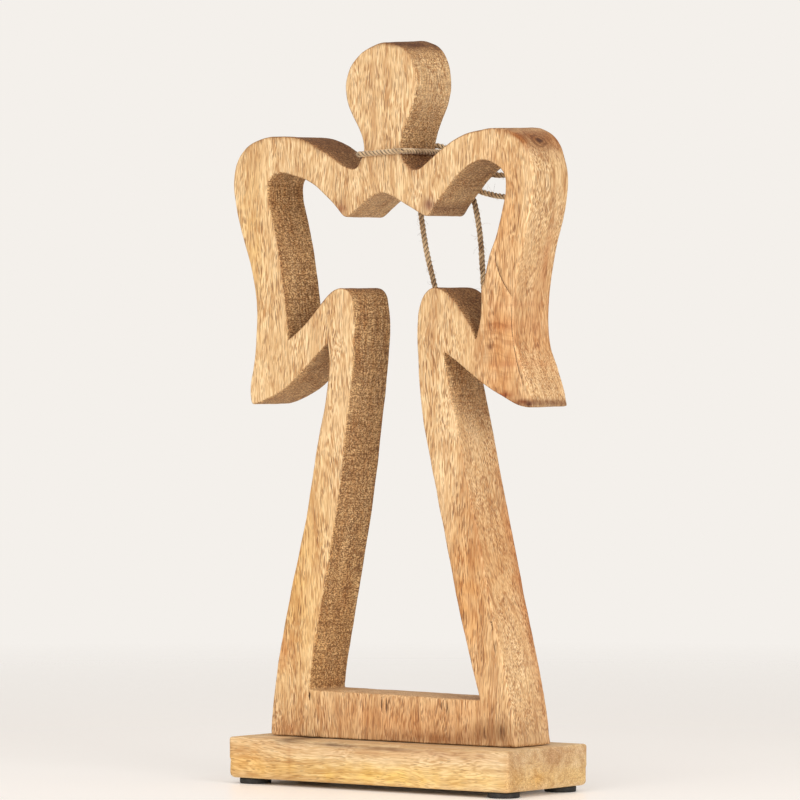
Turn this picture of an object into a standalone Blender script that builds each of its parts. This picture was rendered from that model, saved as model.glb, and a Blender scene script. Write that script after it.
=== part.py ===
"""A hand-sawn wooden angel on a wooden plinth, with jute twine tied in a bow behind its neck.

The angel is one board, sawn to an outline and sawn out again inside it, so that only a frame
of wood is left. It stands on a plinth with four rubber pads under it. The twine goes once round
the neck, and its knot, two loops and two ends are behind the board.

Metres, +Z up. The board faces -Y, left and right are a viewer's, x = 0 is the middle of the
wings' span, y = 0 is the middle of the board's thickness, and the pads' undersides are at z = 0.
"""

import math

import bmesh
import bpy
from mathutils import Vector

MM = 0.001

# Driving sizes
FIGURE_HEIGHT = 0.3931  # the board, from its sawn foot to the top of the head
BOARD_THICKNESS = 0.0337
BOARD_EDGE_ROUND = 0.0012  # the edges of both faces are sanded to this radius
PLINTH_THICKNESS = 0.0233
PLINTH_EDGE_ROUND = 0.0018
PLINTH_OVERHANG_LEFT = 0.0136  # how far the plinth runs on past the board's foot
PLINTH_OVERHANG_RIGHT = 0.0095
PLINTH_OVERHANG_DEPTH = 0.0211  # the same in front and behind
PAD_DIAMETER = 0.018
PAD_HEIGHT = 0.003
PAD_EDGE_ROUND = 0.0004
PAD_MARGIN = 0.002  # from a pad's rim to the plinth's edges
TWINE_DIAMETER = 0.0034
TOUCH_GAP = 0.0003  # between pieces that touch

# The twine's places
COLLAR_SHARE = 0.8425  # the height of the twine at the front of the neck, as a share of the board
COLLAR_RISE = 0.0025  # how much higher it passes behind the neck
COLLAR_CORNER = 0.0032  # the bend of its centreline round the neck's corners
SAME_PLACE = 0.00001  # corners of the board's mesh this close are at one depth
KNOT_RADII = (0.0056, 0.0037, 0.005)

# The saw's pattern, in millimetres on a board of this height
PATTERN_HEIGHT = 393.1
SMOOTH, CORNER = "AUTO", "VECTOR"
CURVE_STEPS = 3  # straight pieces between two anchors of the outline


def smooth(*points):
    """Anchors of the pattern that the saw went through in one curve."""
    return [(x, z, SMOOTH) for x, z in points]


def corner(x, z):
    """An anchor of the pattern where the saw turned."""
    return [(x, z, CORNER)]


LEFT_HEM = corner(-79.3, 0.0)
RIGHT_HEM = corner(94.3, 0.0)
LEFT_GOWN = smooth(
    (-75.9, 28.7), (-66.5, 74.6), (-54.6, 120.5), (-45.5, 166.1), (-39.1, 194.5), (-37.0, 213.0),
)
LEFT_ARMPIT = corner(-38.0, 223.8)
LEFT_WING_BELOW = smooth((-48.2, 215.1), (-57.7, 206.6), (-66.7, 199.1), (-75.7, 194.1), (-85.2, 190.4))
LEFT_WING_TIP = corner(-93.0, 188.2)
LEFT_WING_EDGE = smooth(
    (-93.9, 197.0), (-90.7, 214.0), (-89.3, 231.0), (-89.6, 248.0), (-93.7, 268.0),
    (-99.5, 285.0), (-104.3, 302.0), (-105.7, 318.0), (-101.3, 331.0), (-88.3, 339.5),
)
LEFT_SHOULDER = smooth(
    (-71.0, 341.4), (-55.6, 339.4), (-36.6, 330.1), (-21.3, 322.5), (-17.5, 323.2), (-15.2, 326.5),
)
HEAD = smooth(
    (-12.6, 331.0), (-12.4, 335.0), (-14.0, 341.5), (-22.0, 355.5), (-24.9, 364.5), (-24.4, 374.0),
    (-17.0, 385.3), (-5.5, 391.5), (4.0, 393.1), (11.0, 391.6), (17.1, 388.5), (22.6, 381.0),
    (24.6, 371.0), (23.2, 360.5), (18.2, 349.0), (14.6, 340.0), (13.5, 334.0),
)
RIGHT_SHOULDER = smooth(
    (14.8, 328.5), (17.5, 324.5), (24.5, 321.4), (31.0, 324.6), (41.3, 332.0), (55.3, 339.6),
)
RIGHT_WING_EDGE = smooth(
    (68.8, 342.7), (80.0, 343.5), (90.0, 341.8), (98.7, 336.5), (104.0, 325.5), (105.8, 316.0),
    (105.2, 308.0), (102.2, 293.0), (97.7, 277.0), (93.7, 257.0), (92.2, 237.0), (93.7, 222.0),
    (98.0, 211.5), (103.2, 197.0),
)
RIGHT_WING_TIP = corner(105.6, 188.7)
RIGHT_WING_BELOW = smooth((96.8, 189.6), (83.8, 194.9), (68.8, 203.1), (55.3, 212.3))
RIGHT_ARMPIT = corner(43.6, 219.5)
RIGHT_GOWN = smooth((47.3, 201.4), (51.9, 183.0), (60.8, 144.4), (66.3, 122.0), (76.9, 77.5), (88.1, 33.0))

OUTSIDE = (
    LEFT_HEM + LEFT_GOWN + LEFT_ARMPIT + LEFT_WING_BELOW + LEFT_WING_TIP + LEFT_WING_EDGE
    + LEFT_SHOULDER + HEAD + RIGHT_SHOULDER + RIGHT_WING_EDGE + RIGHT_WING_TIP
    + RIGHT_WING_BELOW + RIGHT_ARMPIT + RIGHT_GOWN + RIGHT_HEM
)

LEFT_NOTCH = corner(-66.4, 225.6)
LEFT_WING_INSIDE = smooth(
    (-67.8, 241.0), (-70.8, 261.0), (-73.8, 279.0), (-77.8, 294.6), (-81.2, 310.0), (-79.6, 317.4),
    (-73.2, 320.5), (-62.7, 319.0), (-50.7, 315.1), (-39.7, 307.6), (-32.7, 301.6),
)
LEFT_COLLAR_TIP = corner(-26.6, 295.2) + corner(-23.6, 294.9)
CHEST_ARCH = smooth((-15.5, 301.1), (-3.7, 307.9), (1.0, 308.6), (9.3, 305.8), (20.3, 300.1))
RIGHT_COLLAR_TIP = corner(30.3, 295.3) + corner(33.5, 295.4)
RIGHT_WING_INSIDE = smooth(
    (37.6, 301.3), (44.7, 309.1), (52.7, 317.1), (63.8, 324.4), (70.8, 326.1), (77.8, 324.3),
    (84.3, 319.6), (86.3, 313.0), (83.8, 298.0), (79.8, 284.0), (74.8, 272.0), (71.5, 258.2),
)
RIGHT_WING_STEP = corner(69.6, 253.8) + smooth((69.2, 238.0))
RIGHT_NOTCH = corner(65.9, 225.9)
RIGHT_ARM = smooth(
    (62.2, 233.8), (55.3, 243.2), (48.3, 250.5), (38.0, 255.3), (32.3, 253.3), (27.4, 245.5),
    (25.4, 231.5),
)
RIGHT_LEG_INSIDE = smooth(
    (26.0, 214.7), (28.1, 189.5), (35.2, 156.0), (45.9, 111.4), (56.7, 67.0),
)
BAR_TOP = corner(69.2, 25.5) + corner(-51.2, 26.8)
LEFT_LEG_INSIDE = smooth(
    (-49.2, 40.6), (-42.2, 76.0), (-35.2, 110.0), (-28.7, 146.0), (-24.7, 176.0), (-21.2, 200.0),
)
LEFT_ARM = smooth(
    (-19.2, 221.0), (-18.4, 234.0), (-19.5, 244.6), (-22.2, 252.8), (-28.2, 255.1), (-34.7, 253.4),
    (-43.2, 245.9), (-54.2, 234.6),
)

INSIDE = (
    LEFT_NOTCH + LEFT_WING_INSIDE + LEFT_COLLAR_TIP + CHEST_ARCH + RIGHT_COLLAR_TIP
    + RIGHT_WING_INSIDE + RIGHT_WING_STEP + RIGHT_NOTCH + RIGHT_ARM + RIGHT_LEG_INSIDE
    + BAR_TOP + LEFT_LEG_INSIDE + LEFT_ARM
)

# Each free stretch of twine, as millimetres right, behind and above the knot's middle
CORD_ROUTES = {
    "twine_loop_right": (
        (5.9, 0.6, 2.3), (14.5, 3.1, 0.7), (26.5, 4.6, -5.8), (37.5, 4.1, -11.5), (48.0, 2.6, -14.7),
        (55.4, 2.6, -15.1), (67.5, 2.6, -14.8), (78.5, 2.1, -17.3), (83.5, 1.6, -21.8),
        (79.5, 1.6, -26.3), (68.5, 2.1, -28.1), (54.7, 2.6, -27.2), (46.6, 2.6, -25.9),
        (38.7, 2.6, -23.9), (27.5, 2.1, -18.3), (16.5, 1.6, -10.3), (6.0, 0.6, -2.3),
    ),
    "twine_loop_left": (
        (-5.9, 0.6, 2.3), (-14.5, 3.1, 0.9), (-25.5, 4.1, -4.6), (-37.5, 3.6, -10.0), (-49.5, 3.1, -14.8),
        (-59.5, 2.6, -16.8), (-64.5, 2.1, -21.3), (-61.5, 1.6, -25.8), (-52.5, 1.6, -27.3),
        (-40.5, 2.1, -23.8), (-28.5, 2.1, -17.3), (-16.5, 1.6, -9.8), (-6.0, 0.6, -2.3),
    ),
    "twine_end_middle": (
        (-1.6, 0.6, -5.4), (-3.7, 2.1, -14.3), (-4.0, 2.6, -25.3), (-2.6, 2.6, -36.3), (1.4, 2.6, -57.3),
        (7.2, 2.6, -77.1), (13.0, 2.1, -94.3), (16.5, 1.6, -106.3),
    ),
    "twine_end_right": (
        (3.2, 0.9, -5.1), (10.5, 3.1, -12.8), (21.5, 4.1, -19.3), (30.5, 3.6, -24.3), (34.8, 2.6, -29.3),
        (38.1, 2.6, -42.8), (39.8, 2.6, -55.3), (40.8, 2.6, -67.1), (41.8, 2.6, -80.3), (43.0, 2.1, -98.3),
    ),
}
CORD_STEP = 2.5  # twine diameters between two points of a cord's tube

WOOD_BOARD = ("mango_wood_board", (0.72, 0.48, 0.26), 0.62)
WOOD_PLINTH = ("mango_wood_plinth", (0.78, 0.56, 0.31), 0.62)
RUBBER = ("black_rubber", (0.02, 0.02, 0.021), 0.7)
JUTE = ("jute_twine", (0.38, 0.26, 0.15), 0.95)


def clear_scene():
    """Remove every object that the file starts with."""
    for item in list(bpy.data.objects):
        bpy.data.objects.remove(item, do_unlink=True)


def material(finish):
    """The Principled material for a finish, made once."""
    name, colour, roughness = finish
    made = bpy.data.materials.get(name)
    if made is None:
        made = bpy.data.materials.new(name)
        made.use_nodes = True
        shader = made.node_tree.nodes["Principled BSDF"]
        shader.inputs["Base Color"].default_value = (*colour, 1.0)
        shader.inputs["Roughness"].default_value = roughness
        shader.inputs["Metallic"].default_value = 0.0
    return made


def add_part(name, data, finish, parts):
    """A named object for one sub-part, in the parts' collection, with its material."""
    item = bpy.data.objects.new(name, data)
    parts.objects.link(item)
    data.materials.clear()
    data.materials.append(material(finish))
    return item


def mesh_from_curve(curve_object):
    """A closed mesh of a curve object, in the curve's own coordinates; the curve is removed."""
    bpy.context.view_layer.update()
    graph = bpy.context.evaluated_depsgraph_get()
    mesh = bpy.data.meshes.new_from_object(curve_object.evaluated_get(graph))
    shape = bmesh.new()
    shape.from_mesh(mesh)
    bmesh.ops.remove_doubles(shape, verts=shape.verts, dist=0.00002)
    bmesh.ops.recalc_face_normals(shape, faces=shape.faces)
    shape.to_mesh(mesh)
    shape.free()
    curve = curve_object.data
    bpy.data.objects.remove(curve_object)
    bpy.data.curves.remove(curve)
    return mesh


def pattern_scale():
    """Metres for one millimetre of the pattern."""
    return FIGURE_HEIGHT / PATTERN_HEIGHT


def plinth_top():
    """The height of the plinth's top face."""
    return PAD_HEIGHT + TOUCH_GAP + PLINTH_THICKNESS


def board_foot():
    """The height of the board's sawn foot."""
    return plinth_top() + TOUCH_GAP


def make_board(parts):
    """The angel: one board with a sawn outline and one sawn opening, its face edges rounded."""
    curve = bpy.data.curves.new("board_pattern", "CURVE")
    curve.dimensions = "2D"
    curve.fill_mode = "BOTH"
    curve.extrude = BOARD_THICKNESS / 2 - BOARD_EDGE_ROUND
    curve.bevel_depth = BOARD_EDGE_ROUND
    curve.bevel_resolution = 1
    curve.offset = -BOARD_EDGE_ROUND
    scale = pattern_scale()
    for outline in (OUTSIDE, INSIDE):
        spline = curve.splines.new("BEZIER")
        spline.use_cyclic_u = True
        spline.resolution_u = CURVE_STEPS
        spline.bezier_points.add(len(outline) - 1)
        for anchor, (x, z, kind) in zip(spline.bezier_points, outline):
            anchor.co = (x * scale, z * scale, 0.0)
            anchor.handle_left_type = anchor.handle_right_type = kind
    drawn = bpy.data.objects.new("board_pattern", curve)
    parts.objects.link(drawn)
    board = add_part("angel_board", mesh_from_curve(drawn), WOOD_BOARD, parts)
    board.location.z = board_foot()
    board.rotation_euler.x = math.radians(90)
    return board


def neck_sides(board, low, high):
    """How far left and right the neck reaches between two heights: the sawn sides nearest to x = 0."""
    bpy.context.view_layer.update()
    rim = BOARD_THICKNESS / 2 - BOARD_EDGE_ROUND
    sawn = []
    for edge in board.data.edges:
        ends = [board.data.vertices[index].co for index in edge.vertices]
        if all(abs(end.z - rim) < SAME_PLACE for end in ends):
            sawn.append([board.matrix_world @ end for end in ends])
    corners = {start.z for start, _ in sawn if low < start.z < high}
    lefts = []
    rights = []
    for height in {low, high} | corners:
        crossings = []
        for start, end in sawn:
            if min(start.z, end.z) <= height <= max(start.z, end.z) and start.z != end.z:
                share = (height - start.z) / (end.z - start.z)
                crossings.append(start.x + (end.x - start.x) * share)
        lefts.append(max(x for x in crossings if x < 0))
        rights.append(min(x for x in crossings if x > 0))
    return min(lefts), max(rights)


def make_plinth(parts):
    """The plinth: a block under the board's foot, rounded at its edges."""
    scale = pattern_scale()
    left = LEFT_HEM[0][0] * scale - PLINTH_OVERHANG_LEFT
    right = RIGHT_HEM[0][0] * scale + PLINTH_OVERHANG_RIGHT
    depth = BOARD_THICKNESS + 2 * PLINTH_OVERHANG_DEPTH
    mesh = bpy.data.meshes.new("plinth")
    shape = bmesh.new()
    bmesh.ops.create_cube(shape, size=1.0)
    bmesh.ops.scale(shape, vec=(right - left, depth, PLINTH_THICKNESS), verts=shape.verts)
    shape.to_mesh(mesh)
    shape.free()
    plinth = add_part("plinth", mesh, WOOD_PLINTH, parts)
    plinth.location = ((left + right) / 2, 0.0, plinth_top() - PLINTH_THICKNESS / 2)
    rounding = plinth.modifiers.new("rounded_edges", "BEVEL")
    rounding.width = PLINTH_EDGE_ROUND
    rounding.segments = 3
    return left, right, depth


def make_pads(left, right, depth, parts):
    """Four round rubber pads, one near each corner of the plinth's underside."""
    inset = PAD_MARGIN + PAD_DIAMETER / 2
    places = {
        "pad_front_left": (left + inset, inset - depth / 2),
        "pad_front_right": (right - inset, inset - depth / 2),
        "pad_back_left": (left + inset, depth / 2 - inset),
        "pad_back_right": (right - inset, depth / 2 - inset),
    }
    for name, (x, y) in places.items():
        mesh = bpy.data.meshes.new(name)
        shape = bmesh.new()
        bmesh.ops.create_cone(
            shape, cap_ends=True, segments=32, depth=PAD_HEIGHT,
            radius1=PAD_DIAMETER / 2, radius2=PAD_DIAMETER / 2,
        )
        shape.to_mesh(mesh)
        shape.free()
        pad = add_part(name, mesh, RUBBER, parts)
        pad.location = (x, y, PAD_HEIGHT / 2)
        rounding = pad.modifiers.new("rounded_rim", "BEVEL")
        rounding.width = PAD_EDGE_ROUND
        rounding.segments = 1
        rounding.limit_method = "ANGLE"
        rounding.angle_limit = math.radians(60)


def smooth_route(route, spacing):
    """Evenly spaced points on a smooth curve through a cord's route points."""
    points = [Vector(point) for point in route]
    ends = [2 * points[0] - points[1]] + points + [2 * points[-1] - points[-2]]
    fine = []
    steps = 24
    for before, start, end, after in zip(ends, ends[1:], ends[2:], ends[3:]):
        for step in range(steps):
            t = step / steps
            fine.append(
                0.5 * (
                    2 * start + (end - before) * t
                    + (2 * before - 5 * start + 4 * end - after) * t ** 2
                    + (3 * start - 3 * end + after - before) * t ** 3
                )
            )
    fine.append(points[-1])
    along = [0.0]
    for start, end in zip(fine, fine[1:]):
        along.append(along[-1] + (end - start).length)
    count = max(2, round(along[-1] / spacing))
    even = []
    index = 0
    for step in range(count + 1):
        wanted = along[-1] * step / count
        while index < len(fine) - 2 and along[index + 1] < wanted:
            index += 1
        share = (wanted - along[index]) / (along[index + 1] - along[index])
        even.append(fine[index].lerp(fine[index + 1], min(1.0, share)))
    return even


def twine_curve(name, points, closed):
    """A curve whose round section is the twine's, through the given points."""
    curve = bpy.data.curves.new(name, "CURVE")
    curve.dimensions = "3D"
    curve.bevel_depth = TWINE_DIAMETER / 2
    curve.bevel_resolution = 2
    curve.use_fill_caps = True
    spline = curve.splines.new("POLY")
    spline.use_cyclic_u = closed
    spline.points.add(len(points) - 1)
    for target, point in zip(spline.points, points):
        target.co = (*point, 1.0)
    return curve


def collar_points(left, right, front_height):
    """The collar's centreline: a rectangle with round corners about the neck, higher behind."""
    away = TWINE_DIAMETER / 2 + TOUCH_GAP
    half_depth = BOARD_THICKNESS / 2 + away
    corners = (
        (right + away, half_depth, 0), (left - away, half_depth, 90),
        (left - away, -half_depth, 180), (right + away, -half_depth, 270),
    )
    points = []
    for x, y, first in corners:
        middle_x = x - math.copysign(COLLAR_CORNER, x)
        middle_y = y - math.copysign(COLLAR_CORNER, y)
        for step in range(4):
            turn = math.radians(first + 30 * step)
            place_y = middle_y + COLLAR_CORNER * math.sin(turn)
            place_x = middle_x + COLLAR_CORNER * math.cos(turn)
            rise = COLLAR_RISE * (place_y + half_depth) / (2 * half_depth)
            points.append(Vector((place_x, place_y, front_height + rise)))
    return points, half_depth


def make_collar(board, parts):
    """The twine round the neck, with its knot behind, as one solid; gives the knot's middle."""
    front_height = board_foot() + COLLAR_SHARE * FIGURE_HEIGHT
    lowest = front_height - TWINE_DIAMETER / 2
    highest = front_height + COLLAR_RISE + TWINE_DIAMETER / 2
    left, right = neck_sides(board, lowest, highest)
    points, half_depth = collar_points(left, right, front_height)
    ring_object = bpy.data.objects.new("collar_ring", twine_curve("collar_ring", points, closed=True))
    parts.objects.link(ring_object)
    collar = add_part("twine_collar", mesh_from_curve(ring_object), JUTE, parts)
    behind = BOARD_THICKNESS / 2 + TOUCH_GAP + KNOT_RADII[1]
    middle = Vector(((left + right) / 2, behind, front_height + COLLAR_RISE))
    mesh = bpy.data.meshes.new("knot")
    shape = bmesh.new()
    bmesh.ops.create_uvsphere(shape, u_segments=16, v_segments=10, radius=1.0)
    bmesh.ops.scale(shape, vec=KNOT_RADII, verts=shape.verts)
    bmesh.ops.translate(shape, vec=middle, verts=shape.verts)
    shape.to_mesh(mesh)
    shape.free()
    return collar, mesh, middle


def join_knot(collar, knot_mesh, cutters):
    """Join the knot to the ring of twine with a Boolean union."""
    knot = bpy.data.objects.new("knot_shape", knot_mesh)
    cutters.objects.link(knot)
    knot.hide_render = True
    knot.display_type = "WIRE"
    union = collar.modifiers.new("knot", "BOOLEAN")
    union.operation = "UNION"
    union.solver = "EXACT"
    union.object = knot


def make_cords(knot_middle, parts):
    """The bow's two loops and the twine's two ends, each a plain tube."""
    for name, route in CORD_ROUTES.items():
        placed = [knot_middle + Vector(offset) * MM for offset in route]
        points = smooth_route(placed, CORD_STEP * TWINE_DIAMETER)
        add_part(name, twine_curve(name, points, closed=False), JUTE, parts)


def main():
    """Build the statue."""
    clear_scene()
    parts = bpy.data.collections.new("wooden_angel_statue")
    cutters = bpy.data.collections.new("cutters")
    bpy.context.scene.collection.children.link(parts)
    bpy.context.scene.collection.children.link(cutters)
    board = make_board(parts)
    left, right, depth = make_plinth(parts)
    make_pads(left, right, depth, parts)
    collar, knot_mesh, knot_middle = make_collar(board, parts)
    join_knot(collar, knot_mesh, cutters)
    make_cords(knot_middle, parts)


main()
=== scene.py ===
"""Looks of a hand-sawn mango wood angel on its plinth, with jute twine tied behind its neck.

Metres, +Z up, the angel's front faces -Y. Patterns take their scale from real millimetres.
"""

import logging
import math
from dataclasses import dataclass, field
from enum import Enum
from functools import partial

import bpy
import numpy as np
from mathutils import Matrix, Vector, kdtree, noise
from mathutils.geometry import delaunay_2d_cdt


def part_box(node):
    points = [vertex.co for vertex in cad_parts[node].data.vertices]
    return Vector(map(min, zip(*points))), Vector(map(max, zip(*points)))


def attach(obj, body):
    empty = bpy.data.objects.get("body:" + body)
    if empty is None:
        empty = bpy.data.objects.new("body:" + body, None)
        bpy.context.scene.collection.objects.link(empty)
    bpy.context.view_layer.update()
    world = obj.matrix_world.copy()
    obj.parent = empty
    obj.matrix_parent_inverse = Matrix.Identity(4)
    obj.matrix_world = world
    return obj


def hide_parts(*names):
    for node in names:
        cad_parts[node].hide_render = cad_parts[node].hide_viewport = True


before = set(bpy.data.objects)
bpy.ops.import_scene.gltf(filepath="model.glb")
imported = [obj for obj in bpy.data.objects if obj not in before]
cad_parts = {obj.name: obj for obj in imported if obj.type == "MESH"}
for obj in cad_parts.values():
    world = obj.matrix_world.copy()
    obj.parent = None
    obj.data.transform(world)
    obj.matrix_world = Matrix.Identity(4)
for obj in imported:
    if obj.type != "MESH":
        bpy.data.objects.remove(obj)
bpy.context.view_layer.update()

log = logging.getLogger("angel")
MM = 0.001

# What a node's input is given, a point in the plane or in space, and one run of twine
Input = bpy.types.Node | bpy.types.NodeSocket | float | tuple | str
Point = Vector | np.ndarray
Run = tuple[list[Vector], bool, tuple[float, float, float], bool]


class Grain(Enum):
    """The way the wood's fibres run; the values are the axes' numbers."""

    ACROSS = 0
    UPRIGHT = 2


def linear(code: str) -> tuple[float, float, float, float]:
    """Linear colour of an sRGB hex code.

    Args:
        code: six hex digits, with or without a leading #.

    Returns:
        Red, green, blue and an alpha of 1.
    """
    digits = code.lstrip("#")
    channels = [int(digits[place:place + 2], 16) / 255 for place in (0, 2, 4)]
    values = [c / 12.92 if c <= 0.04045 else ((c + 0.055) / 1.055) ** 2.4 for c in channels]
    return (*values, 1.0)


def fill(tree: bpy.types.NodeTree, node: bpy.types.Node, inputs: dict) -> None:
    """Set or link a node's inputs.

    Args:
        tree: the node tree.
        node: the node.
        inputs: socket names or numbers, each with a value, a hex colour, a socket to link from,
            or a node to link from by its first output.
    """
    for key, value in inputs.items():
        if isinstance(value, (bpy.types.Node, bpy.types.NodeSocket)):
            source = value.outputs[0] if isinstance(value, bpy.types.Node) else value
            tree.links.new(source, node.inputs[key])
        else:
            node.inputs[key].default_value = linear(value) if isinstance(value, str) else value


def add_node(tree: bpy.types.NodeTree, kind: str, inputs: dict | None = None, **settings) -> bpy.types.Node:
    """Add a node with its settings, and link or set its inputs.

    Args:
        tree: the node tree.
        kind: the node's type.
        inputs: as fill takes them.
        settings: properties of the node.

    Returns:
        The new node.
    """
    made = tree.nodes.new(kind)
    for name, value in settings.items():
        setattr(made, name, value)
    fill(tree, made, inputs or {})
    return made


def per_mm(*sizes: float) -> tuple[float, ...]:
    """Scale of a pattern from its size.

    Args:
        sizes: millimetres that one unit of the pattern takes in x, y and z.

    Returns:
        The scale in x, y and z.
    """
    return tuple(1 / (size * MM) for size in sizes)


def start_material(name: str) -> tuple[bpy.types.Material, bpy.types.NodeTree, bpy.types.Node]:
    """Start a material with nodes.

    Args:
        name: the material's name.

    Returns:
        The material, its tree and its shader.
    """
    material = bpy.data.materials.new(name)
    material.use_nodes = True
    return material, material.node_tree, material.node_tree.nodes["Principled BSDF"]


def lumps(
    tree: bpy.types.NodeTree, place: Input, scale: tuple[float, ...], detail: float,
    roughness: float = 0.5, turn: float = 0.0,
) -> bpy.types.Node:
    """Noise from 0 to 1 on scaled coordinates.

    Args:
        tree: the node tree.
        place: the coordinates.
        scale: their scale in x, y and z.
        detail: how many finer layers the noise has.
        roughness: how strong these are.
        turn: how far the coordinates turn about z, in radians.

    Returns:
        The noise, as a value and as a colour.
    """
    scaled = add_node(tree, "ShaderNodeMapping", {
        "Vector": place, "Scale": scale, "Rotation": (0.0, 0.0, turn),
    })
    return add_node(tree, "ShaderNodeTexNoise", {
        "Vector": scaled, "Scale": 1.0, "Detail": detail, "Roughness": roughness,
    })


def layer(
    tree: bpy.types.NodeTree, under: Input, over: Input, value: Input, low: float = 0.0, high: float = 1.0,
    most: float = 1.0, part: Input = 1.0, how: str = "MIX",
) -> bpy.types.NodeSocket:
    """Lay a colour over another where a value runs from low to high.

    Args:
        tree: the node tree.
        under: the lower colour.
        over: the upper colour.
        value: what says where the upper one lies.
        low: the value from which it begins to show.
        high: the value at which it shows most.
        most: how much it shows there.
        part: a further factor for that.
        how: the way the colours mix.

    Returns:
        The mixed colour.
    """
    share = add_node(tree, "ShaderNodeMapRange", {0: value, 1: low, 2: high, 4: most})
    share = add_node(tree, "ShaderNodeMath", {0: share, 1: part}, operation="MULTIPLY")
    mixed = add_node(tree, "ShaderNodeMix", {0: share, 6: under, 7: over}, data_type="RGBA", blend_type=how)
    return mixed.outputs[2]


def new_object(name: str, mesh: bpy.types.Mesh, material: bpy.types.Material) -> bpy.types.Object:
    """Put a mesh in the scene as an object at the origin.

    Args:
        name: the piece's name.
        mesh: its mesh, in the row frame.
        material: its material.

    Returns:
        The object.
    """
    made = bpy.data.objects.new(name, mesh)
    bpy.context.scene.collection.objects.link(made)
    mesh.materials.clear()
    mesh.materials.append(material)
    return made


def mesh_from_arrays(
    name: str, points: np.ndarray, faces: list, uvs: np.ndarray | None = None,
) -> bpy.types.Mesh:
    """A smooth-shaded mesh from points and faces.

    Args:
        name: the mesh's name.
        points: one row for each vertex.
        faces: tuples of vertex numbers.
        uvs: one row for each face corner, in the faces' order.

    Returns:
        The mesh.
    """
    mesh = bpy.data.meshes.new(name)
    mesh.from_pydata(points.tolist(), [], faces)
    if uvs is not None:
        mesh.uv_layers.new(name="surface").data.foreach_set("uv", uvs.astype(np.float32).ravel())
    mesh.shade_smooth()
    mesh.update()
    return mesh


def paint(mesh: bpy.types.Mesh, **values: np.ndarray) -> None:
    """Store numbers or colours for a mesh's vertices.

    Args:
        mesh: the mesh.
        values: for each attribute a number, or four, for each vertex.
    """
    for name, given in values.items():
        kind, part = ("FLOAT", "value") if given.ndim == 1 else ("FLOAT_COLOR", "color")
        stored = mesh.attributes.new(name, kind, "POINT").data
        stored.foreach_set(part, given.astype(np.float32).ravel())


def lathe(
    profile: list[tuple[float, float]], sides: int, middle: tuple[float, float],
) -> tuple[np.ndarray, list]:
    """A profile turned about an upright axis.

    Args:
        profile: distance from the axis and height of each ring, from the lowest outwards and up.
        sides: how many sides a ring has.
        middle: the axis in x and y.

    Returns:
        Vertices and faces.
    """
    points, faces, starts = [], [], []
    for out, height in profile:
        starts.append(len(points))
        for place in range(1 if out == 0 else sides):
            turn = 2 * math.pi * place / sides
            points.append((middle[0] + out * math.cos(turn), middle[1] + out * math.sin(turn), height))
    for ring, (here, above) in enumerate(zip(starts, starts[1:])):
        for place in range(sides):
            following = (place + 1) % sides
            if profile[ring][0] == 0:
                faces.append((here, above + following, above + place))
            elif profile[ring + 1][0] == 0:
                faces.append((here + place, here + following, above))
            else:
                faces.append((here + place, here + following, above + following, above + place))
    return np.array(points), faces


def noise_at(points: np.ndarray, size: float, seed: float) -> np.ndarray:
    """Smooth noise from -1 to 1 at points.

    Args:
        points: one row for each point, in metres.
        size: the size of the noise's lumps, in metres.
        seed: an offset that gives another noise.

    Returns:
        One value for each point.
    """
    return np.array([noise.noise(Vector(point)) for point in points / size + seed])


def bent(before: Point, start: Point, end: Point, after: Point, steps: int) -> list[Point]:
    """Points on the smooth curve between two points.

    Args:
        before: the point before them.
        start: the first of the two.
        end: the second.
        after: the point after them.
        steps: how many points to make.

    Returns:
        The points, from the first of the two and without the second.
    """
    made = []
    for step in range(steps):
        t = step / steps
        made.append(0.5 * (
            2 * start + (end - before) * t + (2 * before - 5 * start + 4 * end - after) * t ** 2
            + (3 * start - 3 * end + after - before) * t ** 3
        ))
    return made


def spaced(line: np.ndarray, along: np.ndarray, wanted: np.ndarray) -> np.ndarray:
    """Points on a line at given distances.

    Args:
        line: the line's points.
        along: how far along the line each one is.
        wanted: the distances wanted.

    Returns:
        One row for each distance.
    """
    return np.stack([np.interp(wanted, along, axis) for axis in line.T], axis=1)


def smooth_route(route: list[Vector], spacing: float) -> list[Vector]:
    """Evenly spaced points on a smooth curve through a route's points.

    Args:
        route: the points that the curve goes through.
        spacing: the distance wanted between two points.

    Returns:
        The points, both ends among them.
    """
    ends = [2 * route[0] - route[1], *route, 2 * route[-1] - route[-2]]
    fine = []
    for four in zip(ends, ends[1:], ends[2:], ends[3:]):
        fine += bent(*four, steps=24)
    line = np.array([*fine, route[-1]])
    along = np.concatenate([[0.0], np.cumsum(np.linalg.norm(np.diff(line, axis=0), axis=1))])
    wanted = np.linspace(0.0, along[-1], max(2, round(along[-1] / spacing)) + 1)
    return [Vector(point) for point in spaced(line, along, wanted)]


def route_length(points: list[Vector]) -> float:
    """Length of a line through points.

    Args:
        points: the line's points.

    Returns:
        The length in metres.
    """
    return sum((end - start).length for start, end in zip(points, points[1:]))


@dataclass(frozen=True)
class Knot:
    """A knot in the wood, in millimetres: its middle and how far its rings reach each way."""

    middle: tuple[float, float, float]
    reach: tuple[float, float, float]


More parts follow.
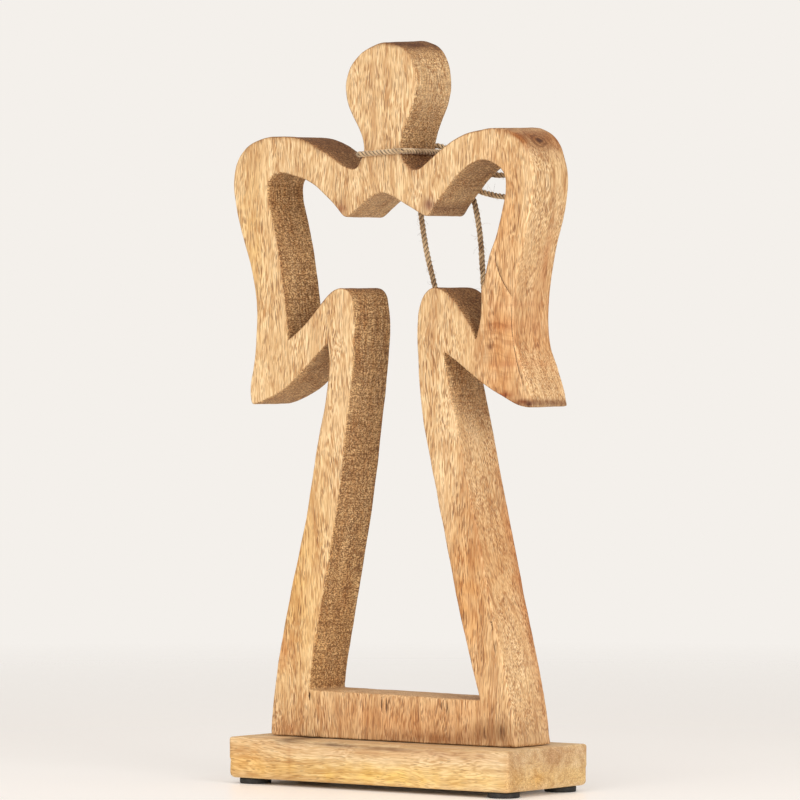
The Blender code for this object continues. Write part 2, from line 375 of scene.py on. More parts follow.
@dataclass(frozen=True)
class WoodFinish:
    """Mango wood: pale straw to orange tan, with long open pores that read as short dark dashes."""

    name: str
    grain: Grain
    pale: str
    mid: str
    deep: str
    pore: str
    light: str
    line: str = "#a06b3c"
    pore_share: float = 0.34
    contrast: float = 1.0
    roughness: float = 0.62
    knots: tuple[Knot, ...] = ()

    def stretched(self, across: float, along: float) -> tuple[float, ...]:
        """Scale of a pattern that is stretched along the grain.

        Args:
            across: its lumps' size across the grain, in millimetres.
            along: their size along it.

        Returns:
            The scale in x, y and z.
        """
        sizes = [across, across, across]
        sizes[self.grain.value] = along
        return per_mm(*sizes)

    def pores(self, tree: bpy.types.NodeTree, fibre: Input, lively: Input) -> bpy.types.Node:
        """Open pores: dashes along the grain, dots where it is cut across.

        The real ones are about 0.2 mm wide; here they are 0.5 mm wide and 3 to 7 mm long, so that
        they show.

        Args:
            tree: the material's tree.
            fibre: coordinates that drift as the fibres do.
            lively: how strongly the pores show in each place.

        Returns:
            A value near 1 in a pore and 0 beside it.
        """
        add = partial(add_node, tree)
        pores = 0.0
        for across, along in ((0.85, 11.0), (0.7, 5.0)):
            scaled = add("ShaderNodeMapping", {"Vector": fibre, "Scale": self.stretched(across, along)})
            cells = add("ShaderNodeTexVoronoi", {"Vector": scaled, "Scale": 1.0}).outputs
            dash = add("ShaderNodeMapRange", {
                0: cells["Distance"], 1: self.pore_share + 0.07, 2: self.pore_share - 0.07,
            })
            chance = add("ShaderNodeSeparateColor", {0: cells["Color"]})
            chance = add("ShaderNodeMapRange", {0: chance, 1: 0.15, 2: 0.85})
            dash = add("ShaderNodeMath", {0: dash, 1: chance}, operation="MULTIPLY")
            pores = add("ShaderNodeMath", {0: pores, 1: dash}, operation="MAXIMUM")
        return add("ShaderNodeMath", {0: pores, 1: lively}, operation="MULTIPLY")

    def knotted(
        self, tree: bpy.types.NodeTree, fibre: Input, colour: Input, knot: Knot,
    ) -> bpy.types.NodeSocket:
        """Lay a knot over the wood: a dark heart with swirling rings round it.

        Args:
            tree: the material's tree.
            fibre: coordinates that drift as the fibres do.
            colour: the wood's colour.
            knot: the knot.

        Returns:
            The colour with the knot.
        """
        add = partial(add_node, tree)
        middle = tuple(value * MM for value in knot.middle)
        around = add("ShaderNodeVectorMath", {0: fibre, 1: middle}, operation="SUBTRACT")
        around = add("ShaderNodeMapping", {"Vector": around, "Scale": per_mm(*knot.reach)})
        away = add("ShaderNodeVectorMath", {0: around}, operation="LENGTH").outputs["Value"]
        ragged = add("ShaderNodeTexNoise", {"Vector": around, "Scale": 1.9, "Detail": 2.0})
        ragged = add("ShaderNodeMapRange", {0: ragged, 1: 0.2, 2: 0.8, 3: -0.1, 4: 0.1})
        away = add("ShaderNodeMath", {0: away, 1: ragged}, operation="ADD")
        rings = add("ShaderNodeMath", {0: away, 1: 19.0}, operation="MULTIPLY")
        rings = add("ShaderNodeMath", {0: rings}, operation="SINE")
        rings = add("ShaderNodeMapRange", {0: rings, 1: -0.3, 2: 0.8, 3: 0.2, 4: 0.7})
        colour = layer(tree, colour, "#80552f", away, 1.0, 0.45, part=rings)
        return layer(tree, colour, "#66442a", away, 0.3, 0.18, 0.9)

    def make(self) -> bpy.types.Material:
        """Build the material.

        Returns:
            The material, which reads the mesh's tint, side, sanded, end, gap and ripple attributes
            and its UV map.
        """
        material, tree, shader = start_material(self.name)
        add = partial(add_node, tree)
        # The fibres wander a millimetre or two on their way, so that no line is ruled
        place = add("ShaderNodeTexCoord").outputs["Object"]
        drift = lumps(tree, place, self.stretched(30, 75), 2.5).outputs["Color"]
        drift = add("ShaderNodeVectorMath", {0: drift, 1: (0.5, 0.5, 0.5)}, operation="SUBTRACT")
        drift = add("ShaderNodeVectorMath", {0: drift, "Scale": 13 * MM}, operation="SCALE")
        fibre = add("ShaderNodeVectorMath", {0: place, 1: drift}, operation="ADD")
        bands, contours, streaks, crowd, fine = (
            lumps(tree, fibre, self.stretched(across, along), detail, 0.6)
            for across, along, detail in (
                (6.5, 120, 3.0), (15, 150, 1.0), (0.9, 30, 2.0), (9, 45, 1.0), (0.42, 8.0, 0.0),
            )
        )
        side, sanded, end, gap, rippled, tint = (
            add("ShaderNodeAttribute", attribute_name=name).outputs
            for name in ("side", "sanded", "end", "gap", "ripple", "tint")
        )
        side, sanded = side["Fac"], sanded["Fac"]
        unsanded = add("ShaderNodeMath", {0: 1.0, 1: sanded}, operation="SUBTRACT")
        sawn = add("ShaderNodeMath", {0: side, 1: unsanded}, operation="MULTIPLY")
        # Growth rings show as soft bands 5 to 10 mm wide and as long as a hand
        ramp = add("ShaderNodeValToRGB", {"Fac": bands})
        stops = ramp.color_ramp.elements
        stops[0].position, stops[0].color = 0.3, linear(self.deep)
        stops[1].position, stops[1].color = 0.66, linear(self.pale)
        stops.new(0.47).color = linear(self.mid)
        # Single growth lines are thin, dark and flowing, and show best where the side was sanded
        contours = add("ShaderNodeMath", {0: contours, 1: 58.0}, operation="MULTIPLY")
        contours = add("ShaderNodeMath", {0: contours}, operation="SINE")
        clear = add("ShaderNodeMath", {0: side, 1: sanded}, operation="MULTIPLY")
        clear = add("ShaderNodeMapRange", {0: clear, 3: 0.3 * self.contrast, 4: 0.75 * self.contrast})
        colour = layer(tree, ramp, self.line, contours, 0.72, 1.0, part=clear)
        # Streaks 1 mm wide, lighter and darker by turns
        colour = layer(tree, colour, self.pale, streaks, 0.5, 0.68, 0.6)
        colour = layer(tree, colour, self.deep, streaks, 0.5, 0.32, 0.5)
        # Single fibres are much finer than this half millimetre, which is as fine as shows
        quiet = 0.5 * self.contrast
        lively = add("ShaderNodeMapRange", {0: crowd, 1: 0.36, 2: 0.58, 3: quiet, 4: self.contrast})
        colour = layer(tree, colour, self.deep, fine, 0.5, 0.39, part=lively)
        colour = layer(tree, colour, self.light, fine, 0.56, 0.72, 0.5, lively)
        # Ripples across the grain, where the tree's own weight pressed its fibres together
        ripple = lumps(tree, fibre, self.stretched(24, 2.4), 1.0)
        colour = layer(tree, colour, "#b7895c", ripple, 0.52, 0.64, 0.5, rippled["Fac"])
        pores = self.pores(tree, fibre, lively)
        colour = layer(tree, colour, self.pore, pores, most=0.8)
        # Sides that the saw left: browner, with torn dashes across the thickness
        speckle = lumps(tree, fibre, per_mm(0.6, 1.7, 0.6), 1.0)
        rough = layer(tree, "#82674a", "#fff6e6", speckle, 0.4, 0.6)
        colour = layer(tree, colour, rough, sawn, most=0.85, how="MULTIPLY")
        # They are darkest where the fibres are cut across; the stronger darkening on upward-facing cut
        # sides is painted shade
        colour = layer(tree, colour, "#b3916f", end["Fac"], most=0.75, how="MULTIPLY")
        for knot in self.knots:
            colour = self.knotted(tree, fibre, colour, knot)
        # Marks of the blade's teeth cross the thickness every 1.5 mm
        marks = lumps(tree, add("ShaderNodeUVMap", uv_map="surface"), per_mm(1.3, 70, 1), 1.0)
        marks = add("ShaderNodeMapRange", {0: marks, 1: 0.5, 2: 0.66})
        marks = add("ShaderNodeMath", {0: marks, 1: sawn}, operation="MULTIPLY")
        colour = layer(tree, colour, "#7a5230", marks, most=0.5)
        # Broad stains and sun-yellow patches that the mesh carries, some of them painted shade, and painted
        # shade in its cracks
        colour = layer(tree, colour, tint["Color"], 1.0, how="MULTIPLY")
        colour = layer(tree, colour, "#4a2c16", gap["Fac"], 0.0, 0.5)
        # Pores and saw marks are a little below the surface; the fibres between them catch the light
        height = add("ShaderNodeMath", {0: fine, 1: pores}, operation="SUBTRACT")
        height = add("ShaderNodeMath", {0: height, 1: marks}, operation="SUBTRACT")
        torn = add("ShaderNodeMath", {0: speckle, 1: sawn}, operation="MULTIPLY")
        height = add("ShaderNodeMath", {0: torn, 1: height}, operation="ADD")
        fill(tree, shader, {
            "Base Color": colour, "Specular IOR Level": 0.35,
            "Roughness": add("ShaderNodeMapRange", {0: sawn, 3: self.roughness, 4: 0.85}),
            "Normal": add("ShaderNodeBump", {"Height": height, "Distance": 0.25 * MM, "Strength": 0.5}),
        })
        return material


@dataclass(frozen=True)
class JuteFinish:
    """Jute: dull, hairy bast fibre, tan with paler and browner strands, and no gloss."""

    name: str
    pale: str
    deep: str

    def make(self) -> bpy.types.Material:
        """Build the material; its fibres follow the UV map along each ply.

        Returns:
            The material, which reads the mesh's groove attribute.
        """
        material, tree, shader = start_material(self.name)
        add = partial(add_node, tree)
        # Fibres of about 0.2 mm lie slantwise round each ply
        around = add("ShaderNodeUVMap", uv_map="surface")
        strands = lumps(tree, around, per_mm(0.22, 3.5, 1), 2.0, turn=math.radians(-24))
        # Paler and browner stretches of a few millimetres
        place = add("ShaderNodeTexCoord").outputs["Object"]
        patches = lumps(tree, place, per_mm(6.25, 6.25, 6.25), 2.0)
        both = add("ShaderNodeMath", {0: strands, 1: patches}, operation="ADD")
        both = add("ShaderNodeMath", {0: both, 1: 0.5}, operation="MULTIPLY")
        ramp = add("ShaderNodeValToRGB", {"Fac": both})
        stops = ramp.color_ramp.elements
        stops[0].position, stops[0].color = 0.36, linear(self.deep)
        stops[1].position, stops[1].color = 0.6, linear(self.pale)
        # The grooves between the plies are full of shadow and dust
        groove = add("ShaderNodeAttribute", attribute_name="groove").outputs["Fac"]
        fill(tree, shader, {
            "Base Color": layer(tree, ramp, "#3f2d1d", groove), "Roughness": 0.95, "Sheen Weight": 0.25,
            "Normal": add("ShaderNodeBump", {"Height": strands, "Distance": 0.2 * MM, "Strength": 0.7}),
        })
        return material


@dataclass(frozen=True)
class RubberFinish:
    """Moulded black rubber: nearly black, matt, with a faint dusty bloom."""

    name: str
    colour: str
    bloom: str

    def make(self) -> bpy.types.Material:
        """Build the material.

        Returns:
            The material.
        """
        material, tree, shader = start_material(self.name)
        add = partial(add_node, tree)
        place = add("ShaderNodeTexCoord").outputs["Object"]
        # Dust in patches of about 3 mm, on a moulded grain of about 0.4 mm
        dust = lumps(tree, place, (350.0, 350.0, 350.0), 4.0)
        grain = lumps(tree, place, per_mm(0.4, 0.4, 0.4), 1.0)
        fill(tree, shader, {
            "Base Color": layer(tree, self.colour, self.bloom, dust, 0.45, 0.75, 0.6), "Roughness": 0.7,
            "Normal": add("ShaderNodeBump", {"Height": grain, "Distance": 0.1 * MM, "Strength": 0.4}),
        })
        return material


BOARD_WOOD = WoodFinish(
    "sanded_mango_wood_board", Grain.UPRIGHT, "#f1d1a3", "#e1bd8b", "#bd8e5e", "#74492a", "#fbe0b4",
    knots=(Knot((98.3, -1.5, 364.5), (13.0, 14.0, 11.0)),),
)
PLINTH_WOOD = WoodFinish(
    "sanded_mango_wood_plinth", Grain.ACROSS, "#eed7b0", "#e2c596", "#bf9868", "#80603f", "#fae8c4",
    pore_share=0.28, contrast=0.7,
)
JUTE = JuteFinish("twisted_jute_twine", "#dcbf97", "#8f6d4b")
JUTE_FUZZ = JuteFinish("loose_jute_fibres", "#dccaa9", "#b99b75")
RUBBER = RubberFinish("moulded_black_rubber", "#161514", "#3b3733")


@dataclass(frozen=True)
class Patch:
    """A soft oval patch on the board or plinth, in millimetres, with the value it gives.

    With facing, it lies only on the sides that face that way in x and z; with y, only near that depth.
    """

    x: float
    z: float
    reach_x: float
    reach_z: float
    value: float = 1.0
    colour: str = "#ffffff"
    facing: tuple[float, float] | None = None
    y: float = 0.0
    reach_y: float = 1000.0

    def share(self, points: np.ndarray, outward: np.ndarray) -> np.ndarray:
        """How strongly the patch lies on each point, from 0 to its value.

        Args:
            points: one row for each point, in metres.
            outward: the way each point's side faces in x and z, zero on the faces.

        Returns:
            One value for each point.
        """
        x, y, z = (points / MM).T
        away = ((x - self.x) / self.reach_x) ** 2 + ((z - self.z) / self.reach_z) ** 2
        share = self.value * np.exp(-away - ((y - self.y) / self.reach_y) ** 2)
        if self.facing is not None:
            share = share * np.clip(1.6 * (outward @ np.array(self.facing)), 0.0, 1.0)
        return share


def tint_of(points: np.ndarray, outward: np.ndarray, patches: tuple[Patch, ...]) -> np.ndarray:
    """Multiplying colour of broad stains and of painted shade at each point.

    Args:
        points: one row for each point, in metres.
        outward: the way each point's side faces in x and z, zero on the faces.
        patches: the stains and the patches of painted shade.

    Returns:
        Red, green, blue and alpha for each point.
    """
    tint = np.ones((len(points), 4))
    ragged = noise_at(points, 7 * MM, 31.0)
    for patch in patches:
        share = np.clip(patch.share(points, outward) * (1 + 0.45 * ragged), 0.0, 1.0)[:, None]
        tint = tint * (1 - share) + tint * np.array(linear(patch.colour)) * share
    return tint


@dataclass(frozen=True)
class Crack:
    """A drying crack in the front face: its line in millimetres, half its width and its depth."""

    line: tuple[tuple[float, float], ...]
    half_width: float = 0.22
    depth: float = 0.9


@dataclass(frozen=True)
class Chip:
    """A place where a face's edge broke out: its middle, half length and bite, in millimetres."""

    x: float
    z: float
    half_length: float
    bite: float


@dataclass
class AngelBoard:
    """The sawn board: outlines from its solid, worn edges, cracks, chips and a sawn, wavy side."""

    edge_round: float = 1.2 * MM
    worn: float = 0.85 * MM
    step: float = 1.3 * MM
    row: float = 2.2 * MM
    face_step: float = 1.9 * MM
    corner_turn: float = 30.0
    # How far the wear reaches from an outward corner, and how much it smooths there and elsewhere
    corner_reach: float = 5.0 * MM
    corner_soft: float = 1.5 * MM
    line_soft: float = 0.5 * MM
    dense: float = 0.3 * MM
    crack_step: float = 0.7 * MM
    # Points of the solid that are closer than this are one point
    same_place: float = 0.02 * MM
    # The saw's waves on the side: height, length and the noise's seed
    saw_waves: tuple[tuple[float, float, float], ...] = (
        (0.22 * MM, 13.0 * MM, 2.0), (0.1 * MM, 4.0 * MM, 5.0),
    )
    # How much higher the back is than the front over the head and the right shoulder
    head_rise: float = 2.0 * MM
    shoulder_rise: float = 1.3 * MM
    cracks: tuple[Crack, ...] = (
        Crack(((78.6, 303.0), (80.2, 295.5), (83.5, 287.5), (87.6, 281.4), (91.0, 277.0)), 0.34, 1.3),
        Crack(((91.2, 277.0), (90.6, 268.0), (91.4, 256.0), (94.6, 240.0), (99.6, 226.0)), 0.24, 0.7),
        Crack(((14.8, 352.0), (15.5, 349.0), (15.2, 346.0)), 0.4, 1.2),
        Crack(((77.0, 95.5), (77.6, 92.5)), 0.32, 0.9),
        Crack(((78.6, 84.5), (79.2, 80.0)), 0.36, 1.0),
        Crack(((0.5, 51.0), (0.3, 47.0), (0.6, 43.4)), 0.6, 1.7),
        Crack(((3.7, 51.0), (3.6, 46.5), (3.9, 42.6)), 0.6, 1.6),
        Crack(((5.6, 50.8), (5.4, 48.0)), 0.35, 1.0),
        Crack(((42.4, 50.4), (42.2, 48.0), (42.5, 45.8)), 0.45, 1.3),
        Crack(((46.0, 50.4), (46.2, 47.0), (45.9, 44.6)), 0.55, 1.4),
        Crack(((-50.9, 52.4), (-51.2, 50.4), (-51.0, 48.4)), 0.9, 2.0),
    )
    chips: tuple[Chip, ...] = (
        Chip(2.5, 53.0, 3.4, 0.9),
        Chip(44.0, 52.6, 2.6, 1.3),
        Chip(36.0, 52.6, 1.3, 0.7),
        Chip(103.0, 217.0, 2.6, 1.5),
        Chip(24.0, 398.0, 17.0, 0.6),
        Chip(104.0, 320.0, 44.0, 0.3),
        Chip(93.0, 28.0, 6.0, 1.3),
        Chip(-82.0, 28.0, 5.0, 0.8),
    )
    back_chips: tuple[Chip, ...] = (
        Chip(93.0, 28.0, 8.0, 1.5),
        Chip(105.0, 217.0, 5.0, 1.0),
        Chip(-60.0, 52.0, 5.0, 0.8),
    )
    # How far each part of the sawn side was sanded: the outer wing most, the inside not at all
    sanded_places: tuple[Patch, ...] = (
        Patch(100.0, 285.0, 24.0, 120.0, 1.5, facing=(1.0, 0.0)),
        Patch(-100.0, 285.0, 24.0, 120.0, 1.4, facing=(-1.0, 0.0)),
        Patch(92.0, 45.0, 24.0, 50.0, 1.3, facing=(1.0, 0.0)),
        Patch(76.0, 110.0, 24.0, 50.0, 1.0, facing=(1.0, 0.0)),
        Patch(60.0, 180.0, 22.0, 45.0, 1.0, facing=(1.0, 0.0)),
        Patch(-80.0, 45.0, 24.0, 50.0, 1.2, facing=(-1.0, 0.0)),
        Patch(-66.0, 110.0, 24.0, 50.0, 0.9, facing=(-1.0, 0.0)),
        Patch(-52.0, 180.0, 22.0, 45.0, 0.9, facing=(-1.0, 0.0)),
        Patch(24.0, 395.0, 14.0, 26.0, 0.5),
        Patch(-24.0, 395.0, 14.0, 26.0, 0.35),
        Patch(90.0, 368.0, 14.0, 8.0, 0.6, facing=(0.0, 1.0)),
        Patch(4.0, 53.0, 90.0, 6.0, 1.1, facing=(0.0, 1.0)),
        Patch(0.0, 325.0, 90.0, 30.0, 0.5, facing=(0.0, -1.0)),
        Patch(0.0, 235.0, 110.0, 30.0, 0.35, facing=(0.0, -1.0)),
    )
    # Where the fibres are rippled
    ripples: tuple[Patch, ...] = (
        Patch(84.0, 254.0, 14.0, 26.0, 1.2),
        Patch(-72.0, 76.0, 9.0, 18.0, 1.0),
        Patch(62.0, 340.0, 16.0, 12.0, 0.5),
    )
    # Broad stains and sun-yellow patches, and some patches of painted shade on tops and in hollows
    stains_and_painted_shade: tuple[Patch, ...] = (
        Patch(-62.0, 130.0, 20.0, 70.0, 0.8, "#fff3cc"),
        Patch(-95.0, 300.0, 14.0, 60.0, 0.6, "#fff6d6"),
        Patch(84.0, 245.0, 15.0, 46.0, 0.9, "#ecceb2"),
        Patch(82.0, 325.0, 14.0, 34.0, 0.8, "#f0d6ba"),
        Patch(62.0, 110.0, 18.0, 60.0, 0.85, "#ecd0b0"),
        Patch(10.0, 40.0, 62.0, 14.0, 0.85, "#e6c8ae"),
        Patch(76.0, 35.0, 18.0, 7.0, 0.6, "#b8a48f"),
        Patch(84.0, 37.0, 4.0, 6.0, 0.35, "#94816f"),
        Patch(40.0, 30.0, 50.0, 4.0, 0.7, "#b99a7e"),
        Patch(-66.0, 31.0, 14.0, 5.0, 0.6, "#c59c79"),
        Patch(86.0, 222.5, 7.0, 1.8, 0.9, "#b98259"),
        Patch(97.0, 218.5, 8.0, 1.8, 1.0, "#9c6a4a"),
        Patch(103.0, 217.6, 2.6, 1.8, 1.0, "#7b5240"),
        Patch(33.6, 328.0, 4.5, 4.0, 0.9, "#a58a8c"),
        Patch(-28.3, 327.2, 4.0, 3.5, 0.8, "#a9775c"),
        Patch(76.1, 249.0, 1.8, 1.8, 0.8, "#94776c"),
        Patch(84.0, 272.5, 9.0, 1.5, 0.4, "#dfa77c"),
        Patch(84.0, 261.0, 9.0, 2.6, 0.35, "#dfa97e"),
        Patch(87.0, 239.5, 9.0, 1.9, 0.5, "#d9a078"),
        Patch(-72.0, 76.0, 8.0, 10.0, 0.5, "#f0bc8c"),
        Patch(96.0, 296.0, 8.0, 16.0, 0.7, "#cf9868", (1.0, 0.0), 8.0, 3.0),
        Patch(94.0, 262.0, 12.0, 26.0, 0.5, "#d9b08a", (1.0, 0.0), 3.0, 2.6),
        Patch(75.0, 110.0, 40.0, 90.0, 0.6, "#d8a880", (1.0, 0.0), 16.0, 6.0),
        Patch(97.0, 365.0, 16.0, 9.0, 0.9, "#b58a60", (0.6, 0.8)),
        # The next four darken upward-facing surfaces. On the left shoulder's and the head's tops this is
        # partly end grain and partly painted shade. In the hollow under the twine beside the neck and on
        # the arm's top by the notch it is painted shade.
        Patch(-58.0, 362.0, 30.0, 9.0, 0.7, "#b0967a", (0.0, 1.0)),
        Patch(12.0, 419.0, 16.0, 3.0, 0.8, "#8c6a4c", (0.0, 1.0)),
        Patch(18.0, 354.0, 9.0, 7.0, 0.7, "#a9826c", (0.6, 0.8)),
        Patch(56.0, 272.0, 16.0, 16.0, 0.4, "#a88c72", (0.6, 0.8)),
    )

    def outlines(self, node: bpy.types.Object, rim: float) -> list[np.ndarray]:
        """The closed lines where the board's sides meet the rounding of its front edges.

        Args:
            node: the board's solid.
            rim: how far in front of the middle these lines lie.

        Returns:
            An array of x and z for each line; the wood is on the left of its way.
        """
        points = np.array([vertex.co for vertex in node.data.vertices])
        keys = [tuple(row) for row in np.round(points / self.same_place).astype(int)]
        on_rim = np.abs(points[:, 1] + rim) < 1.5 * self.same_place
        near: dict[tuple, set] = {}
        where = {}
        for edge in node.data.edges:
            first, second = edge.vertices
            if on_rim[first] and on_rim[second] and keys[first] != keys[second]:
                for one, other in ((first, second), (second, first)):
                    near.setdefault(keys[one], set()).add(keys[other])
                    where[keys[one]] = points[one]
        loops = []
        while near:
            here = next(iter(near))
            loop = [here]
            while near.get(here):
                following = near[here].pop()
                near[following].discard(here)
                loop.append(following)
                here = following
            for key in loop:
                near.pop(key, None)
            loops.append(np.array([where[key][[0, 2]] for key in loop[:-1]]))
        # The outer line is the tallest, and runs the other way round than the inner one
        loops.sort(key=lambda line: -np.ptp(line[:, 1]))
        for number, line in enumerate(loops):
            x, z = line.T
            area = np.sum(x * np.roll(z, -1) - np.roll(x, -1) * z) / 2
            if (area > 0) != (number == 0):
                loops[number] = line[::-1]
        return loops

    def sawn_line(self, line: np.ndarray) -> np.ndarray:
        """A fine, even line through an outline's points, with its outward corners worn round.

        Args:
            line: the outline's points.

        Returns:
            Points about one step apart.
        """
        turn = self.turns(line)
        is_corner = np.abs(turn) > math.radians(self.corner_turn)
        fine, outward = [], []
        count, steps = len(line), 10
        for number in range(count):
            start, end = line[number], line[(number + 1) % count]
            before = 2 * start - end if is_corner[number] else line[number - 1]
            after = 2 * end - start if is_corner[(number + 1) % count] else line[(number + 2) % count]
            fine += bent(before, start, end, after, steps)
            outward += [turn[number] > math.radians(self.corner_turn)] + [False] * (steps - 1)
        fine = np.array(fine)
        along, total = self.distances(fine)
        even, wanted = self.evened(fine, self.dense)
        near_corner = np.zeros(len(wanted))
        for corner in along[:-1][np.array(outward)]:
            away = np.abs((wanted - corner + total / 2) % total - total / 2)
            near_corner = np.maximum(near_corner, np.exp(-(away / self.corner_reach) ** 2))
        soft = self.smoothed(even, self.corner_soft / self.dense)
        firm = self.smoothed(even, self.line_soft / self.dense)
        return self.evened(firm + (soft - firm) * near_corner[:, None], self.step)[0]

    @staticmethod
    def turns(line: np.ndarray) -> np.ndarray:
        """How much a closed line turns at each of its points.

        Args:
            line: the line's points.

        Returns:
            The turn to the left at each point, in radians.
        """
        ahead = np.roll(line, -1, 0) - line
        heading = np.arctan2(ahead[:, 1], ahead[:, 0])
        return (heading - np.roll(heading, 1) + math.pi) % (2 * math.pi) - math.pi

    @staticmethod
    def distances(line: np.ndarray) -> tuple[np.ndarray, float]:
        """How far along a closed line its points are.

        Args:
            line: the line's points.

        Returns:
            The distance to each point and back to the first, and the whole length.
        """
        steps = np.linalg.norm(np.roll(line, -1, 0) - line, axis=1)
        along = np.concatenate([[0.0], np.cumsum(steps)])
        return along, float(along[-1])

    def evened(self, line: np.ndarray, step: float) -> tuple[np.ndarray, np.ndarray]:
        """Evenly spaced points on a closed line.

        Args:
            line: the line's points.
            step: the distance wanted between two points.

        Returns:
            The points, and how far along the line each one is.
        """
        along, total = self.distances(line)
        count = round(total / step)
        wanted = np.arange(count) * total / count
        return spaced(np.vstack([line, line[:1]]), along, wanted), wanted

    @staticmethod
    def smoothed(values: np.ndarray, sigma: float) -> np.ndarray:
        """Values along a closed line, each a bell-shaped mean of those around it.

        Args:
            values: one row for each point.
            sigma: the bell's width, in points.

        Returns:
            The smoothed values.
        """
        waves = np.fft.fftfreq(len(values))
        bell = np.exp(-2 * (math.pi * waves * sigma) ** 2)
        if values.ndim > 1:
            bell = bell[:, None]
        return np.real(np.fft.ifft(np.fft.fft(values, axis=0) * bell, axis=0))

    def edge_wear(self, line: np.ndarray, seed: float, chips: tuple[Chip, ...]) -> np.ndarray:
        """The radius to which an edge is worn, point by point.

        Args:
            line: the outline.
            seed: chooses the noise.
            chips: the broken places on this edge.

        Returns:
            One radius for each point, small enough for the outline's own bends.
        """
        points = np.stack([line[:, 0], np.full(len(line), seed), line[:, 1]], axis=1)
        coarse, fine = noise_at(points, 16 * MM, seed), noise_at(points, 4 * MM, seed)
        wear = self.worn * (1.0 + 0.5 * coarse + 0.3 * fine)
        for chip in chips:
            away = np.hypot(line[:, 0] / MM - chip.x, line[:, 1] / MM - chip.z) / chip.half_length
            wear += chip.bite * MM * np.exp(-away ** 4)
        # Where the outline bends inwards, the radius stays under half of the bend's own
        bend = self.smoothed(self.turns(line), 1.0) / self.step
        limit = np.where(bend > 1.0, 0.5 / np.maximum(bend, 1.0), 1.0)
        own = limit.copy()
        for away in range(1, 8):
            for way in (-away, away):
                limit = np.minimum(limit, np.roll(own, way) + 0.35 * away * self.step)
        wear = np.minimum(wear, limit)
        return np.minimum(self.smoothed(wear, 1.2), limit)

    def crack_points(self, cracks: tuple[Crack, ...]) -> tuple[list, list]:
        """Points in and beside the cracks of a face.

        Args:
            cracks: the cracks.

        Returns:
            Each point's x and z, and how deep in a crack it is, in metres.
        """
        added, depths = [], []
        for crack in cracks:
            line = smooth_route([Vector((x * MM, 0.0, z * MM)) for x, z in crack.line], self.crack_step)
            for place, point in enumerate(line):
                share = math.sin(math.pi * (place + 0.35) / (len(line) - 0.3)) ** 0.6
                ahead = (line[min(place + 1, len(line) - 1)] - line[max(place - 1, 0)]).normalized()
                off = Vector((ahead.z, 0.0, -ahead.x)) * crack.half_width * MM * share
                wobble = 0.12 * MM * noise.noise(point / (1.5 * MM))
                for side, depth in ((-1, 0.0), (0, crack.depth * MM * share), (1, 0.0)):
                    added.append((point.x + side * off.x + wobble, point.z + side * off.z))
                    depths.append(depth)
        return added, depths

    def cap(
        self, rims: list[np.ndarray], first: list[int], next_vertex: int,
        cracks: tuple[Crack, ...], seed: int,
    ) -> tuple[np.ndarray, np.ndarray, list]:
        """Triangles that fill a face between its rims.

        Args:
            rims: the x and z of each rim's vertices.
            first: the mesh's vertex number of each rim's first vertex.
            next_vertex: the number that the first new vertex gets.
            cracks: the cracks in this face.
            seed: chooses the scatter of the inner points.

        Returns:
            New vertices' x and z, how deep in a crack each is in metres, and the triangles.
        """
        edges, numbers, flat = [], [], []
        for rim, start in zip(rims, first):
            base, count = len(flat), len(rim)
            flat += rim.tolist()
            numbers += range(start, start + count)
            edges += [(base + place, base + (place + 1) % count) for place in range(count)]
        added, depths = self.crack_points(cracks)
        busy = kdtree.KDTree(len(flat) + len(added))
        for number, (x, z) in enumerate(flat + added):
            busy.insert((x, z, 0.0), number)
        busy.balance()
        # Rows of points as for equal-sided triangles, each point up to a fifth of a step off its place
        low, high = rims[0].min(0), rims[0].max(0)
        rise = self.face_step * 0.87
        rows, columns = int((high[1] - low[1]) / rise), int((high[0] - low[0]) / self.face_step)
        grid = np.array([
            (low[0] + (column + 0.5 * (row % 2)) * self.face_step, low[1] + row * rise)
            for row in range(rows + 1) for column in range(columns + 1)
        ])
        grid += np.random.default_rng(seed).uniform(-0.2, 0.2, grid.shape) * self.face_step
        for x, z in grid[self.in_wood(grid, rims)]:
            if busy.find((x, z, 0.0))[2] > 0.6 * self.face_step:
                added.append((x, z))
                depths.append(0.0)
        made = delaunay_2d_cdt([Vector(point) for point in flat + added], edges, [], 1, 1e-9)
        corners, triangles = np.array([tuple(point) for point in made[0]]), np.array(made[2])
        numbers += range(next_vertex, next_vertex + len(added))
        numbers = [numbers[origins[0]] for origins in made[3]]
        inside = self.in_wood(corners[triangles].mean(axis=1), rims)
        kept = [tuple(numbers[corner] for corner in triangle) for triangle in triangles[inside]]
        return np.array(added), np.array(depths), kept

    @staticmethod
    def in_wood(points: np.ndarray, rims: list[np.ndarray]) -> np.ndarray:
        """Whether points lie inside the outer rim and outside the inner one.

        Args:
            points: each point's x and z.
            rims: the x and z of each rim's points.

        Returns:
            True or False for each point.
        """
        inside = np.zeros(len(points), bool)
        for rim in rims:
            for (x1, z1), (x2, z2) in zip(rim, np.roll(rim, -1, 0)):
                if z1 == z2:
                    continue
                crosses = (z1 > points[:, 1]) != (z2 > points[:, 1])
                inside ^= crosses & (points[:, 0] < x1 + (points[:, 1] - z1) * (x2 - x1) / (z2 - z1))
        return inside

    def rings(self, line: np.ndarray, half: float) -> tuple[list, np.ndarray]:
        """The sawn side and its worn edges along one outline, ring by ring from front to back.

        Args:
            line: the outline.
            half: half the board's thickness.

        Returns:
            For each ring its points and how far it belongs to the side, from 0 to 1, and the
            outline's outward direction at each point.
        """
        ahead = np.roll(line, -1, 0) - np.roll(line, 1, 0)
        ahead /= np.linalg.norm(ahead, axis=1)[:, None]
        out = np.stack([ahead[:, 1], -ahead[:, 0]], axis=1)
        front, back = self.edge_wear(line, 3.0, self.chips), self.edge_wear(line, 8.0, self.back_chips)
        arcs = [math.radians(angle) for angle in (90, 60, 30, 0)]

